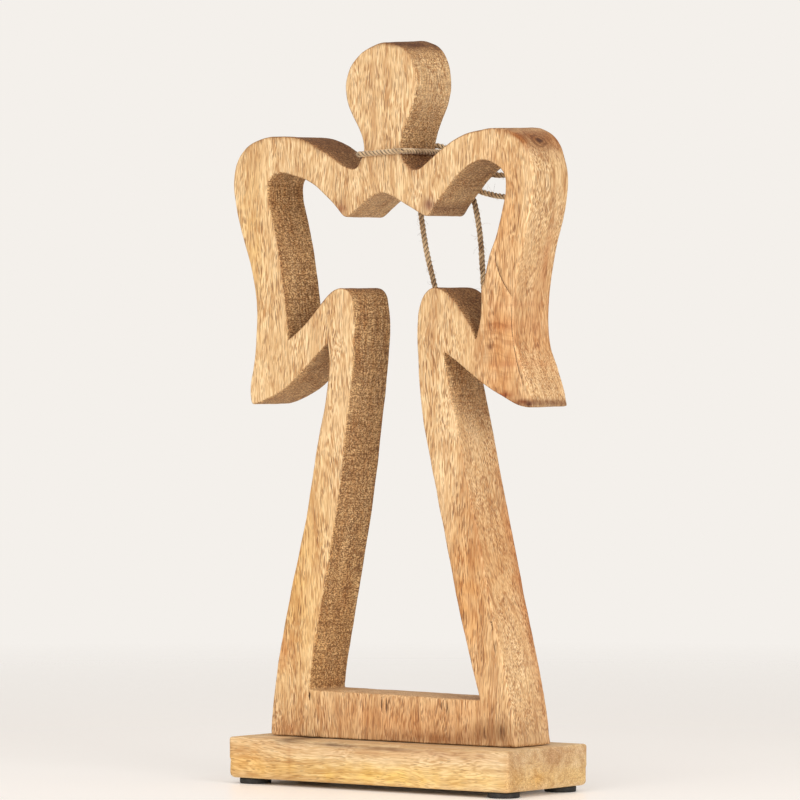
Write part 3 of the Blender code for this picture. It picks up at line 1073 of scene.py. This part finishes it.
        def worn(wear: np.ndarray, angle: float, face: int) -> tuple[np.ndarray, np.ndarray, float]:
            """One ring of a worn edge.

            Args:
                wear: the edge's radius at each point.
                angle: the ring's place on the rounding, from 90 degrees at the face to 0.
                face: -1 for the front edge and 1 for the back one.

            Returns:
                How far in from the outline and how far back it lies, and its share of the side.
            """
            depth = face * (half - wear + wear * math.sin(angle))
            return wear * (1 - math.cos(angle)), depth, math.cos(angle)

        made = [worn(front, angle, -1) for angle in arcs]
        for share in np.linspace(0, 1, round(2 * half / self.row))[1:-1]:
            made.append((np.zeros(len(line)), -(half - front) + share * (2 * half - front - back), 1.0))
        made += [worn(back, angle, 1) for angle in reversed(arcs)]
        placed = []
        for inset, depth, side in made:
            flat = line - out * inset[:, None]
            placed.append((np.stack([flat[:, 0], depth, flat[:, 1]], axis=1), side))
        return placed, out

    def build(self) -> bpy.types.Object:
        """Make the board.

        Returns:
            The piece, riding on the root in the solid's place.
        """
        low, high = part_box("angel_board")
        half = (high.y - low.y) / 2
        points, sides, ends, outward, faces, uvs = [], [], [], [], [], []
        firsts, front_rims, back_rims = [], [], []
        start = 0
        outlines = self.outlines(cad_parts["angel_board"], half - self.edge_round)
        for line in map(self.sawn_line, outlines):
            count = len(line)
            along, _ = self.distances(line)
            rings, out = self.rings(line, half)
            for ring, side in rings:
                points.append(ring)
                sides.append(np.full(count, side))
                # End grain darkens sides that face up or down, but those that face up get far more: that
                # difference is painted shade on the tops
                ends.append((np.clip(out[:, 1], 0, 1) + 0.25 * np.clip(-out[:, 1], 0, 1)) ** 1.5 * side)
                outward.append(out)
            for number, ((near, _), (far, _)) in enumerate(zip(rings, rings[1:])):
                base = start + number * count
                for place in range(count):
                    following = (place + 1) % count
                    first, second = base + place, base + following
                    faces.append((first, first + count, second + count, second))
                    uvs += [
                        (along[place], near[place, 1]), (along[place], far[place, 1]),
                        (along[place + 1], far[following, 1]), (along[place + 1], near[following, 1]),
                    ]
            firsts.append((start, start + (len(rings) - 1) * count))
            front_rims.append(rings[0][0][:, [0, 2]])
            back_rims.append(rings[-1][0][:, [0, 2]])
            start += len(rings) * count
        points, outward = np.vstack(points), np.vstack(outward)
        sides, ends, gaps = np.concatenate(sides), np.concatenate(ends), np.zeros(len(points))
        for rims, edge, face, cracks, seed in (
            (front_rims, 0, -1, self.cracks, 5), (back_rims, 1, 1, (), 6),
        ):
            starts = [pair[edge] for pair in firsts]
            added, depths, triangles = self.cap(rims, starts, len(points), cracks, seed)
            flat = np.stack([added[:, 0], face * (half - depths), added[:, 1]], axis=1)
            points = np.vstack([points, flat])
            # The cracks are darkened by their depth: painted shade
            gaps = np.concatenate([gaps, np.clip(depths / (0.5 * MM), 0, 1)])
            triangles = [self.turned(triangle, points, face) for triangle in triangles]
            faces += triangles
            uvs += [tuple(points[corner][[0, 2]]) for triangle in triangles for corner in triangle]
        extra = len(points) - len(sides)
        sides, ends = (np.concatenate([values, np.zeros(extra)]) for values in (sides, ends))
        outward = np.vstack([outward, np.zeros((extra, 2))])
        points = self.worked(points, sides, outward, half)
        mesh = mesh_from_arrays("angel", points, faces, np.array(uvs))
        sanded, ripple = (
            np.clip(sum(patch.share(points, outward) for patch in patches), 0, 1)
            for patches in (self.sanded_places, self.ripples)
        )
        paint(
            mesh, side=sides, end=ends * (1 - sanded), sanded=sanded, gap=gaps, ripple=ripple * (1 - sides),
            tint=tint_of(points, outward, self.stains_and_painted_shade),
        )
        board = new_object("angel_carved", mesh, BOARD_WOOD.make())
        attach(board, "root")
        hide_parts("angel_board")
        log.info("board: %d vertices, %d faces", len(points), len(faces))
        return board

    @staticmethod
    def turned(triangle: tuple, points: np.ndarray, face: int) -> tuple:
        """Order a triangle's corners so that it faces out of the board.

        Args:
            triangle: its vertex numbers.
            points: the vertices.
            face: -1 on the front and 1 on the back.

        Returns:
            The vertex numbers in order.
        """
        a, b, c = (points[corner] for corner in triangle)
        across = (b[2] - a[2]) * (c[0] - a[0]) - (b[0] - a[0]) * (c[2] - a[2])
        return triangle if across * face > 0 else triangle[::-1]

    def worked(self, points: np.ndarray, sides: np.ndarray, outward: np.ndarray, half: float) -> np.ndarray:
        """Move the surface as the saw and the sander left it.

        Args:
            points: the vertices.
            sides: 1 on the sawn side, 0 on the faces.
            outward: the side's outward direction in x and z.
            half: half the board's thickness.

        Returns:
            The moved vertices.
        """
        points = points.copy()
        wave = sum(height * noise_at(points, length, seed) for height, length, seed in self.saw_waves)
        points[:, 0] += outward[:, 0] * wave * sides
        points[:, 2] += outward[:, 1] * wave * sides
        # The saw ran out of square there, on lines that fade out to the sides and downwards
        behind = (points[:, 1] + half) / (2 * half)
        x, _, z = (points / MM).T
        head = np.clip((z - 392) / 22, 0, 1) * (np.abs(x) < 30)
        shoulder = np.clip((z - 352) / 14, 0, 1) * np.exp(-((x - 84) / 20) ** 2)
        points[:, 2] += behind * (self.head_rise * head ** 1.5 + self.shoulder_rise * shoulder)
        return points


@dataclass
class Plinth:
    """The plinth: a sanded block with rounded edges, its grain lying left to right."""

    edge_round: float = 1.8 * MM
    cell: float = 1.6 * MM
    sanded: float = 0.8
    stains_and_painted_shade: tuple[Patch, ...] = (
        Patch(10.0, 23.0, 110.0, 5.0, 0.7, "#ead5c6"),
        Patch(10.0, 9.0, 110.0, 7.0, 0.9, "#fff0b4"),
        Patch(-85.0, 15.0, 26.0, 14.0, 0.6, "#fbe2b4"),
        Patch(-50.0, 26.0, 9.0, 1.5, 1.0, "#8f8178"),
        Patch(-18.0, 25.0, 16.0, 1.1, 1.0, "#7d6e66"),
        Patch(20.0, 24.4, 20.0, 1.0, 0.9, "#8d7b70"),
        Patch(62.0, 24.0, 26.0, 2.6, 0.4, "#c4ab98"),
        # A dark line on the top along the board's front foot: painted shade where the board meets the
        # plinth
        Patch(5.5, 26.3, 92.0, 1.5, 0.9, "#5c4433", y=-17.3, reach_y=1.6),
        Patch(-49.0, 15.0, 1.6, 14.0, 0.35, "#d0a87e"),
        Patch(103.0, 13.0, 4.0, 16.0, 0.6, "#dcc3a4", y=-34.0, reach_y=8.0),
        Patch(103.0, 20.0, 4.0, 9.0, 0.5, "#cfb092", y=6.0, reach_y=12.0),
        Patch(103.0, 9.0, 4.0, 8.0, 0.5, "#f7dfb0", y=-12.0, reach_y=12.0),
    )

    def samples(self, low: float, high: float) -> np.ndarray:
        """Grid lines from one side of the block to the other, close together near its edges.

        Args:
            low: the side that the lines start from.
            high: the side that they end at.

        Returns:
            The lines' places.
        """
        reach = self.edge_round * 2.2
        close = reach * (1 - np.cos(np.linspace(0, math.pi / 2, 6)))
        cells = max(2, round((high - low - 2 * reach) / self.cell))
        middle = np.linspace(low + reach, high - reach, cells + 1)
        return np.unique(np.round(np.concatenate([low + close, middle, high - close]), 7))

    def build(self) -> bpy.types.Object:
        """Make the plinth.

        Returns:
            The piece, riding on the root in the solid's place.
        """
        low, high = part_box("plinth")
        lines = [self.samples(low[axis], high[axis]) for axis in range(3)]
        numbers: dict[tuple, int] = {}
        faces = []
        for axis in range(3):
            first, second = (axis + 1) % 3, (axis + 2) % 3
            for end in (0, len(lines[axis]) - 1):
                for a, b in np.ndindex(len(lines[first]) - 1, len(lines[second]) - 1):
                    quad = []
                    for da, db in ((0, 0), (1, 0), (1, 1), (0, 1)):
                        place = [0, 0, 0]
                        place[axis], place[first], place[second] = end, a + da, b + db
                        quad.append(numbers.setdefault(tuple(place), len(numbers)))
                    faces.append(tuple(quad if end else quad[::-1]))
        points = np.array([[lines[axis][place[axis]] for axis in range(3)] for place in numbers])
        middle, reach = np.array((low + high) / 2), np.array((high - low) / 2)
        coarse, fine = noise_at(points, 24 * MM, 4.0), noise_at(points, 7 * MM, 9.0)
        wear = self.edge_round * (1 + 0.35 * coarse + 0.2 * fine)
        wear = (wear * np.where(points[:, 2] < middle[2], 1.5, 0.9))[:, None]
        core = np.clip(points - middle, -(reach - wear), reach - wear)
        away = points - middle - core
        length = np.linalg.norm(away, axis=1)[:, None]
        points = middle + core + np.where(length > 1e-9, away / np.maximum(length, 1e-9) * wear, 0.0)
        points[:, 1] += 0.12 * MM * noise_at(points, 30 * MM, 12.0)
        uvs = np.array([points[corner][[0, 2]] for quad in faces for corner in quad])
        mesh = mesh_from_arrays("plinth_block", points, faces, uvs)
        edge_on = np.clip((np.abs(points[:, 0] - middle[0]) - reach[0] + 1.2 * MM) / (1.0 * MM), 0, 1)
        none = np.zeros(len(points))
        paint(
            mesh, side=edge_on, end=edge_on * 0.1, sanded=none + self.sanded, gap=none, ripple=none,
            tint=tint_of(points, np.zeros((len(points), 2)), self.stains_and_painted_shade),
        )
        plinth = new_object("plinth_block", mesh, PLINTH_WOOD.make())
        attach(plinth, "root")
        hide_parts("plinth")
        log.info("plinth: %d vertices", len(points))
        return plinth


@dataclass
class RubberPads:
    """Four moulded pads: turned discs with a round rim and a shallow dish underneath."""

    sides: int = 56
    rim: float = 0.7 * MM
    dish: float = 0.25 * MM
    names: tuple[str, ...] = ("pad_front_left", "pad_front_right", "pad_back_left", "pad_back_right")

    def profile(self, radius: float, low: float, high: float) -> list[tuple[float, float]]:
        """A pad's outline from the middle of its underside round to that of its top.

        Args:
            radius: half the pad's width.
            low: the height of its underside.
            high: the height of its top.

        Returns:
            Distance from the axis and height of each point.
        """
        arc = [math.radians(angle) for angle in (0, 30, 60, 90)]
        under = [(radius * share, low + self.dish * (1 - share ** 2)) for share in (0.0, 0.3, 0.6, 0.82)]
        for a in arc:
            under.append((radius - self.rim + self.rim * math.sin(a), low + self.rim * (1 - math.cos(a))))
        soft = self.rim * 0.5
        over = [(radius - soft * (1 - math.cos(a)), high - soft * (1 - math.sin(a))) for a in arc]
        return [*under, *over, (0.0, high)]

    def build(self) -> list[bpy.types.Object]:
        """Make the pads.

        Returns:
            The four pieces, each in its solid's place.
        """
        material = RUBBER.make()
        made = []
        for name in self.names:
            low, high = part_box(name)
            profile = self.profile((high.x - low.x) / 2, low.z, high.z)
            points, faces = lathe(profile, self.sides, ((low.x + high.x) / 2, (low.y + high.y) / 2))
            pad = new_object(f"{name}_moulded", mesh_from_arrays(name, points, faces), material)
            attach(pad, "root")
            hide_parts(name)
            made.append(pad)
        log.info("pads: %d", len(made))
        return made


@dataclass
class LooseFibres:
    """Hairs that stand off the twine, scattered on its plies by a node tree."""

    per_square_metre: float = 90000.0
    longest: float = 8.0 * MM
    shortest_share: float = 0.14
    # The higher this power, the fewer of the hairs are long
    fewness: float = 4.5
    thickness: float = 0.045 * MM
    seed: int = 11
    tree: bpy.types.NodeTree | None = field(default=None, repr=False)

    def make_tree(self) -> bpy.types.NodeTree:
        """Build the node tree once.

        Returns:
            The tree, with named inputs for its sizes.
        """
        tree = bpy.data.node_groups.new("loose_fibres", "GeometryNodeTree")
        for name, kind in (
            ("Twine", "Geometry"), ("Fibres per square metre", "Float"), ("Longest", "Float"),
            ("Thickness", "Float"), ("Seed", "Int"), ("Material", "Material"),
        ):
            tree.interface.new_socket(name, in_out="INPUT", socket_type=f"NodeSocket{kind}")
        tree.interface.new_socket("Fibres", in_out="OUTPUT", socket_type="NodeSocketGeometry")
        add = partial(add_node, tree)
        given = add("NodeGroupInput").outputs
        spots = add("GeometryNodeDistributePointsOnFaces", {
            "Mesh": given["Twine"], "Density": given["Fibres per square metre"], "Seed": given["Seed"],
        }).outputs
        hair = add("GeometryNodeCurveQuadraticBezier", {
            "Resolution": 6, "Start": (-0.08, 0.0, -0.03), "Middle": (0.5, 0.25, 0.36),
            "End": (0.6, 0.8, 0.14),
        })
        lean = add("FunctionNodeRandomValue", {
            0: (-0.5, -0.5, 0.0), 1: (0.5, 0.5, 2 * math.pi), "Seed": given["Seed"],
        }, data_type="FLOAT_VECTOR")
        lean = add("FunctionNodeEulerToRotation", {0: lean})
        turn = add("FunctionNodeRotateRotation", {0: spots["Rotation"], 1: lean}, rotation_space="LOCAL")
        size = add("FunctionNodeRandomValue", {2: 0.0, 3: 1.0, "Seed": given["Seed"]}, data_type="FLOAT")
        size = add("ShaderNodeMath", {0: size.outputs[1], 1: self.fewness}, operation="POWER")
        size = add("ShaderNodeMapRange", {"Value": size, "To Min": self.shortest_share, "To Max": 1.0})
        size = add("ShaderNodeMath", {0: size, 1: given["Longest"]}, operation="MULTIPLY")
        hairs = add("GeometryNodeInstanceOnPoints", {
            "Points": spots["Points"], "Instance": hair, "Rotation": turn, "Scale": size,
        })
        real = add("GeometryNodeRealizeInstances", {0: hairs})
        section = add("GeometryNodeCurvePrimitiveCircle", {"Resolution": 3, "Radius": given["Thickness"]})
        solid = add("GeometryNodeCurveToMesh", {"Curve": real, "Profile Curve": section, "Fill Caps": True})
        real = add("GeometryNodeRealizeInstances", {0: solid})
        dressed = add("GeometryNodeSetMaterial", {"Geometry": real, "Material": given["Material"]})
        add("NodeGroupOutput", {0: dressed})
        return tree

    def grow(
        self, name: str, twine: bpy.types.Object, material: bpy.types.Material, seed: int,
    ) -> bpy.types.Object:
        """Grow the fibres of one piece of twine.

        Args:
            name: the new piece's name.
            twine: the piece that carries them.
            material: their material.
            seed: the scatter's seed.

        Returns:
            The fibres as one plain mesh.
        """
        if self.tree is None:
            self.tree = self.make_tree()
        carrier = bpy.data.objects.new("carrier", twine.data.copy())
        bpy.context.scene.collection.objects.link(carrier)
        grown = carrier.modifiers.new("fibres", "NODES")
        grown.node_group = self.tree
        values = {
            "Fibres per square metre": self.per_square_metre, "Longest": self.longest,
            "Thickness": self.thickness, "Seed": seed, "Material": material,
        }
        for item in self.tree.interface.items_tree:
            if item.in_out == "INPUT" and item.name in values:
                grown[item.identifier] = values[item.name]
        bpy.context.view_layer.update()
        graph = bpy.context.evaluated_depsgraph_get()
        mesh = bpy.data.meshes.new_from_object(carrier.evaluated_get(graph))
        bpy.data.objects.remove(carrier)
        if "surface" not in mesh.uv_layers:
            mesh.uv_layers.new(name="surface")
        return new_object(name, mesh, material)


@dataclass
class Twine:
    """Three-ply jute twine: once round the neck, a knot behind it, two loops and two ends."""

    diameter: float = 3.4 * MM
    lay: float = 8.0 * MM
    spacing: float = 0.7 * MM
    ply_sides: int = 8
    ply_radius: float = 0.79 * MM
    uneven: float = 0.2
    # How long the frayed end is, and where between the plies a groove starts and how deep it goes
    fray: float = 7.0 * MM
    groove_edge: float = 1.58 * MM
    groove_depth: float = 0.42 * MM
    collar_corner: float = 3.2 * MM
    # How far under the knot's middle the collar lies: back right, back left, front left, front right
    collar_drops: tuple[float, ...] = (1.9 * MM, 1.0 * MM, 3.2 * MM, 1.8 * MM)
    knot_reach: tuple[float, float] = (3.7 * MM, 5.0 * MM)
    # The knot's band: half its width, the angle that it starts from and the angle that it turns through
    knot_half_width: float = 2.2 * MM
    knot_start: float = -60.0
    knot_sweep: float = 560.0
    into_knot: float = 3.6 * MM
    fibres: LooseFibres = field(default_factory=LooseFibres)
    # Each free stretch, as metres right, behind and above the knot's middle
    routes: dict[str, tuple[tuple[float, float, float], ...]] = field(default_factory=lambda: {
        "twine_loop_right": (
            (0.0059, 0.0006, 0.0023), (0.0145, 0.0031, 0.0007), (0.0265, 0.0046, -0.0058),
            (0.0375, 0.0041, -0.0115), (0.0480, 0.0026, -0.0147), (0.0554, 0.0026, -0.0151),
            (0.0675, 0.0026, -0.0148), (0.0785, 0.0021, -0.0173), (0.0835, 0.0016, -0.0218),
            (0.0795, 0.0016, -0.0263), (0.0685, 0.0021, -0.0281), (0.0547, 0.0026, -0.0272),
            (0.0466, 0.0026, -0.0259), (0.0387, 0.0026, -0.0239), (0.0275, 0.0021, -0.0183),
            (0.0165, 0.0016, -0.0103), (0.0060, 0.0006, -0.0023),
        ),
        "twine_loop_left": (
            (-0.0059, 0.0006, 0.0023), (-0.0145, 0.0031, 0.0009), (-0.0255, 0.0041, -0.0046),
            (-0.0375, 0.0036, -0.0100), (-0.0495, 0.0031, -0.0148), (-0.0595, 0.0026, -0.0168),
            (-0.0645, 0.0021, -0.0213), (-0.0615, 0.0016, -0.0258), (-0.0525, 0.0016, -0.0273),
            (-0.0405, 0.0021, -0.0238), (-0.0285, 0.0021, -0.0173), (-0.0165, 0.0016, -0.0098),
            (-0.0060, 0.0006, -0.0023),
        ),
        "twine_end_middle": (
            (-0.0016, 0.0006, -0.0054), (-0.0037, 0.0021, -0.0143), (-0.0040, 0.0026, -0.0253),
            (-0.0026, 0.0026, -0.0363), (0.0014, 0.0026, -0.0573), (0.0072, 0.0026, -0.0771),
            (0.0130, 0.0021, -0.0943), (0.0165, 0.0016, -0.1063),
        ),
        "twine_end_right": (
            (0.0032, 0.0009, -0.0051), (0.0105, 0.0031, -0.0128), (0.0215, 0.0041, -0.0193),
            (0.0305, 0.0036, -0.0243), (0.0348, 0.0026, -0.0293), (0.0381, 0.0026, -0.0428),
            (0.0398, 0.0026, -0.0553), (0.0408, 0.0026, -0.0671), (0.0418, 0.0026, -0.0803),
            (0.0430, 0.0021, -0.0983),
        ),
    })

    def knot_middle(self) -> Vector:
        """The middle of the knot, from the collar's solid.

        Returns:
            The point.
        """
        low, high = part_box("twine_collar")
        return Vector(((low.x + high.x) / 2, high.y - self.knot_reach[0], high.z - self.knot_reach[1]))

    @staticmethod
    def frames(
        points: np.ndarray, closed: bool, axis: tuple[float, float, float],
    ) -> tuple[np.ndarray, np.ndarray]:
        """Two directions square to a line at each of its points.

        Args:
            points: the line.
            closed: whether it runs back to its start.
            axis: a direction that the line never takes.

        Returns:
            The two directions, each one row for a point.
        """
        if closed:
            ahead = np.roll(points, -1, 0) - np.roll(points, 1, 0)
        else:
            ahead = np.gradient(points, axis=0)
        ahead /= np.linalg.norm(ahead, axis=1)[:, None]
        first = np.cross(ahead, np.array(axis))
        first /= np.linalg.norm(first, axis=1)[:, None]
        return first, np.cross(ahead, first)

    def tube(
        self, points: np.ndarray, radii: np.ndarray, closed: bool,
        axis: tuple[float, float, float], base: int,
    ) -> tuple[np.ndarray, list, list]:
        """A round tube along a line.

        Args:
            points: the line.
            radii: the tube's radius at each point.
            closed: whether it runs back to its start.
            axis: a direction that the line never takes.
            base: the number of the tube's first vertex.

        Returns:
            Vertices, faces, and the UV of each face corner in metres round and along.
        """
        first, second = self.frames(points, closed, axis)
        turns = np.linspace(0, 2 * math.pi, self.ply_sides, endpoint=False)[None, :, None]
        ring = first[:, None] * np.cos(turns) + second[:, None] * np.sin(turns)
        vertices = (points[:, None] + ring * radii[:, None, None]).reshape(-1, 3)
        count, sides = len(points), self.ply_sides
        girth = 2 * math.pi * float(radii.mean()) / sides
        along = np.concatenate([[0.0], np.cumsum(np.linalg.norm(np.diff(points, axis=0), axis=1))])
        along = np.append(along, along[-1] + self.spacing)
        faces, uvs = [], []
        for station in range(count if closed else count - 1):
            here, there = base + station * sides, base + (station + 1) % count * sides
            for side in range(sides):
                beside = (side + 1) % sides
                faces.append((here + side, here + beside, there + beside, there + side))
                uvs += [
                    ((side + across) * girth, along[station + ahead])
                    for across, ahead in ((0, 0), (1, 0), (1, 1), (0, 1))
                ]
        if not closed:
            faces.append(tuple(base + side for side in reversed(range(sides))))
            faces.append(tuple(base + (count - 1) * sides + side for side in range(sides)))
            uvs += [(0.0, 0.0)] * (2 * sides)
        return vertices, faces, uvs

    def twist(self, runs: list[Run], name: str, seed: float) -> bpy.types.Mesh:
        """Lay three plies round each line.

        Args:
            runs: lines, whether each is closed, a direction that it never takes, and whether its
                last end is frayed.
            name: the mesh's name.
            seed: chooses the plies' unevenness.

        Returns:
            One mesh with all the plies.
        """
        vertices, faces, uvs, grooves = [], [], [], []
        base = 0
        for line, closed, axis, frayed in runs:
            points, length = np.array(line), route_length(line)
            first, second = self.frames(points, closed, axis)
            steps = np.linspace(0, 1, len(points), endpoint=not closed)
            turns = round(length / self.lay) if closed else length / self.lay
            for ply in range(3):
                phase = (2 * math.pi * (turns * steps + ply / 3))[:, None]
                radius = self.ply_radius * (1.0 + self.uneven * noise_at(points, 5 * MM, seed + 3.1 * ply))
                spread = np.full(len(points), self.diameter / 2 - self.ply_radius)
                if frayed:
                    # The plies grow thinner and spread apart
                    tail = np.clip((steps * length - length + self.fray) / self.fray, 0, 1)
                    radius = radius * (1 - 0.55 * tail ** 2)
                    spread = spread * (1 + 1.3 * tail ** 2)
                middle = points + spread[:, None] * (first * np.cos(phase) + second * np.sin(phase))
                made = self.tube(middle, radius, closed, axis, base)
                vertices.append(made[0])
                faces += made[1]
                uvs += made[2]
                base += len(made[0])
                off = np.linalg.norm(made[0] - np.repeat(points, self.ply_sides, axis=0), axis=1)
                grooves.append(np.clip((self.groove_edge - off) / self.groove_depth, 0, 1))
        mesh = mesh_from_arrays(name, np.vstack(vertices), faces, np.array(uvs))
        paint(mesh, groove=np.concatenate(grooves))
        return mesh

    def collar_line(self) -> list[Vector]:
        """The twine's middle line round the neck, lowest at its front left corner.

        Returns:
            The line's points, from the back right corner round to the one before it.
        """
        low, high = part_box("twine_collar")
        radius = self.diameter / 2
        left, right = low.x + radius, high.x - radius
        half_depth = -low.y - radius
        level = self.knot_middle().z
        corners = ((right, 1, 0), (left, 1, 90), (left, -1, 180), (right, -1, 270))
        points = []
        for (x, sign, start), drop in zip(corners, self.collar_drops):
            x -= math.copysign(self.collar_corner, x)
            middle = Vector((x, sign * (half_depth - self.collar_corner), 0.0))
            for step in range(7):
                turn = math.radians(start + 15 * step)
                place = middle + self.collar_corner * Vector((math.cos(turn), math.sin(turn), 0.0))
                place.z = level - drop
                points.append(place)
        return smooth_route([*points, points[0]], self.spacing)[:-1]

    def knot_line(self, middle: Vector) -> list[Vector]:
        """The band of the knot: one and a half turns round the crossing of the loops.

        Args:
            middle: the knot's middle.

        Returns:
            The line's points.
        """
        deep, tall = (reach - self.diameter / 2 for reach in self.knot_reach)
        points = []
        for share in (step / 30 for step in range(31)):
            turn = math.radians(self.knot_start + self.knot_sweep * share)
            points.append(middle + Vector((
                self.knot_half_width * (2 * share - 1), deep * math.sin(turn) * 1.05, tall * math.cos(turn),
            )))
        return smooth_route(points, self.spacing)

    def build(self) -> list[bpy.types.Object]:
        """Make the collar with its knot, the two loops and the two ends, each with loose fibres.

        Returns:
            The pieces.
        """
        jute, hair = JUTE.make(), JUTE_FUZZ.make()
        middle = self.knot_middle()
        made = []
        for number, (name, route) in enumerate(self.routes.items()):
            looped = "loop" in name
            placed = [middle + Vector(offset) for offset in route]
            placed.insert(0, placed[0].lerp(middle, self.into_knot / (placed[0] - middle).length))
            if looped:
                placed.append(placed[-1].lerp(middle, self.into_knot / (placed[-1] - middle).length))
            line = smooth_route(placed, self.spacing)
            mesh = self.twist([(line, False, (0.0, 1.0, 0.0), not looped)], name, 7.0 * number)
            cord = new_object(f"{name}_twisted", mesh, jute)
            fuzz = self.fibres.grow(f"{name}_fibres", cord, hair, self.fibres.seed + number)
            for piece in (cord, fuzz):
                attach(piece, "root")
            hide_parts(name)
            made += [cord, fuzz]
        runs = [
            (self.collar_line(), True, (0.0, 0.0, 1.0), False),
            (self.knot_line(middle), False, (1.0, 0.0, 0.0), False),
        ]
        collar = new_object("twine_collar_twisted", self.twist(runs, "collar", 40.0), jute)
        fuzz = self.fibres.grow("twine_collar_fibres", collar, hair, self.fibres.seed + 20)
        for piece in (collar, fuzz):
            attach(piece, "root")
        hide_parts("twine_collar")
        log.info("twine_collar: %.0f mm round the neck", route_length(self.collar_line()) / MM)
        return [*made, collar, fuzz]


@dataclass
class Studio:
    """Camera at the photograph's place, a pale floor, and large soft lights."""

    aim: tuple[float, float, float] = (0.0008, 0.0, 0.21873)
    azimuth: float = 0.645321
    pitch: float = 0.014875
    distance: float = 3.47489
    lens: float = 276.76
    backdrop: str = "#f4f0eb"
    floor_colour: str = "#f1edea"
    floor_radius: float = 1.6
    floor_sides: int = 64
    floor_painted_glow: float = 0.17
    # Half the plinth's width and depth, inside which the floor has no glow: a painted shadow under the
    # plinth
    painted_shadow_half_size: tuple[float, float] = (0.1, 0.038)
    ambient: float = 0.55
    # Each softbox's place, width and height, and watts
    softboxes: dict[str, tuple[tuple[float, float, float], tuple[float, float], float]] = field(
        default_factory=lambda: {
            "front_softbox": ((0.5, -2.3, 0.8), (1.6, 1.6), 25.0),
            "side_softbox": ((2.2, -0.7, 0.7), (1.2, 1.6), 25.5),
            "top_softbox": ((0.2, -0.5, 2.1), (1.8, 1.8), 15.0),
        },
    )

    def hang(self, made: bpy.types.Object, place: Vector) -> bpy.types.Object:
        """Put the camera or a light in the scene, facing the statue.

        Args:
            made: the camera or light.
            place: where it goes.

        Returns:
            The same object.
        """
        made.location = place
        made.rotation_mode = "QUATERNION"
        made.rotation_quaternion = (Vector(self.aim) - place).to_track_quat("-Z", "Y")
        bpy.context.scene.collection.objects.link(made)
        return made

    def camera(self) -> bpy.types.Object:
        """Place the camera.

        Returns:
            The camera.
        """
        data = bpy.data.cameras.new("camera")
        data.lens = self.lens
        data.sensor_width = 36.0
        data.clip_start, data.clip_end = 0.1, 20.0
        level = math.cos(self.pitch)
        back = Vector((
            math.sin(self.azimuth) * level, -math.cos(self.azimuth) * level, math.sin(self.pitch),
        ))
        made = self.hang(bpy.data.objects.new("camera", data), Vector(self.aim) + back * self.distance)
        bpy.context.scene.camera = made
        return made

    def floor(self) -> bpy.types.Object:
        """A pale disc that fades into the backdrop and glows, with a painted shadow under the plinth.

        Returns:
            The floor, which isn't part of the object.
        """
        rings = [(float(out), 0.0) for out in np.linspace(0.0, self.floor_radius, 13)]
        points, faces = lathe(rings, self.floor_sides, (0.0, 0.0))
        material, tree, shader = start_material("pale_studio_paper")
        add = partial(add_node, tree)
        place = add("ShaderNodeTexCoord").outputs["Object"]
        away = add("ShaderNodeVectorMath", {0: place}, operation="LENGTH").outputs["Value"]
        # The floor's glow is cut to nothing under the plinth: a painted shadow there
        beside = tuple(1 / reach for reach in self.painted_shadow_half_size) + (0.0,)
        beside = add("ShaderNodeVectorMath", {0: place, 1: beside}, operation="MULTIPLY")
        beside = add("ShaderNodeVectorMath", {0: beside}, operation="ABSOLUTE")
        beside = add("ShaderNodeSeparateXYZ", {0: beside}).outputs
        beside = add("ShaderNodeMath", {0: beside[0], 1: beside[1]}, operation="MAXIMUM")
        # The paper glows as well: painted light that stands in for a table lit from below
        fill(tree, shader, {
            "Base Color": self.floor_colour, "Roughness": 0.35, "Emission Color": self.floor_colour,
            "Alpha": add("ShaderNodeMapRange", {
                0: away, 1: 0.5, 2: self.floor_radius * 0.95, 3: 1.0, 4: 0.0,
            }),
            "Emission Strength": add("ShaderNodeMapRange", {0: beside, 1: 0.75, 4: self.floor_painted_glow}),
        })
        made = new_object("floor", mesh_from_arrays("floor", points, faces), material)
        return made

    def world(self) -> None:
        """Even light from all round, and a pale backdrop for the camera."""
        world = bpy.data.worlds.new("studio")
        bpy.context.scene.world = world
        world.use_nodes = True
        tree = world.node_tree
        seen = tree.nodes["Background"]
        fill(tree, seen, {"Color": self.backdrop, "Strength": 1.0})
        glow = add_node(tree, "ShaderNodeBackground", {"Color": "#fffaf4", "Strength": self.ambient})
        path = add_node(tree, "ShaderNodeLightPath")
        both = add_node(tree, "ShaderNodeMixShader", {0: path.outputs["Is Camera Ray"], 1: glow, 2: seen})
        fill(tree, tree.nodes["World Output"], {"Surface": both})

    def build(self) -> None:
        """Set up the floor and the lights, and show colours as they are."""
        self.floor()
        self.world()
        for name, (place, size, power) in self.softboxes.items():
            data = bpy.data.lights.new(name, "AREA")
            data.shape = "RECTANGLE"
            data.size, data.size_y = size
            data.energy = power
            data.color = linear("#fffdf8")[:3]
            lamp = self.hang(bpy.data.objects.new(name, data), Vector(place))
            lamp.visible_camera = False
        bpy.context.scene.view_settings.view_transform = "Standard"
        log.info("studio: floor, %d softboxes and an even glow", len(self.softboxes))


def main() -> None:
    """Build the statue, its twine and the studio."""
    logging.basicConfig(level=logging.INFO, format="%(name)s: %(message)s")
    studio = Studio()
    studio.camera()
    Twine().build()
    AngelBoard().build()
    Plinth().build()
    RubberPads().build()
    studio.build()


if __name__ == "__main__":
    main()
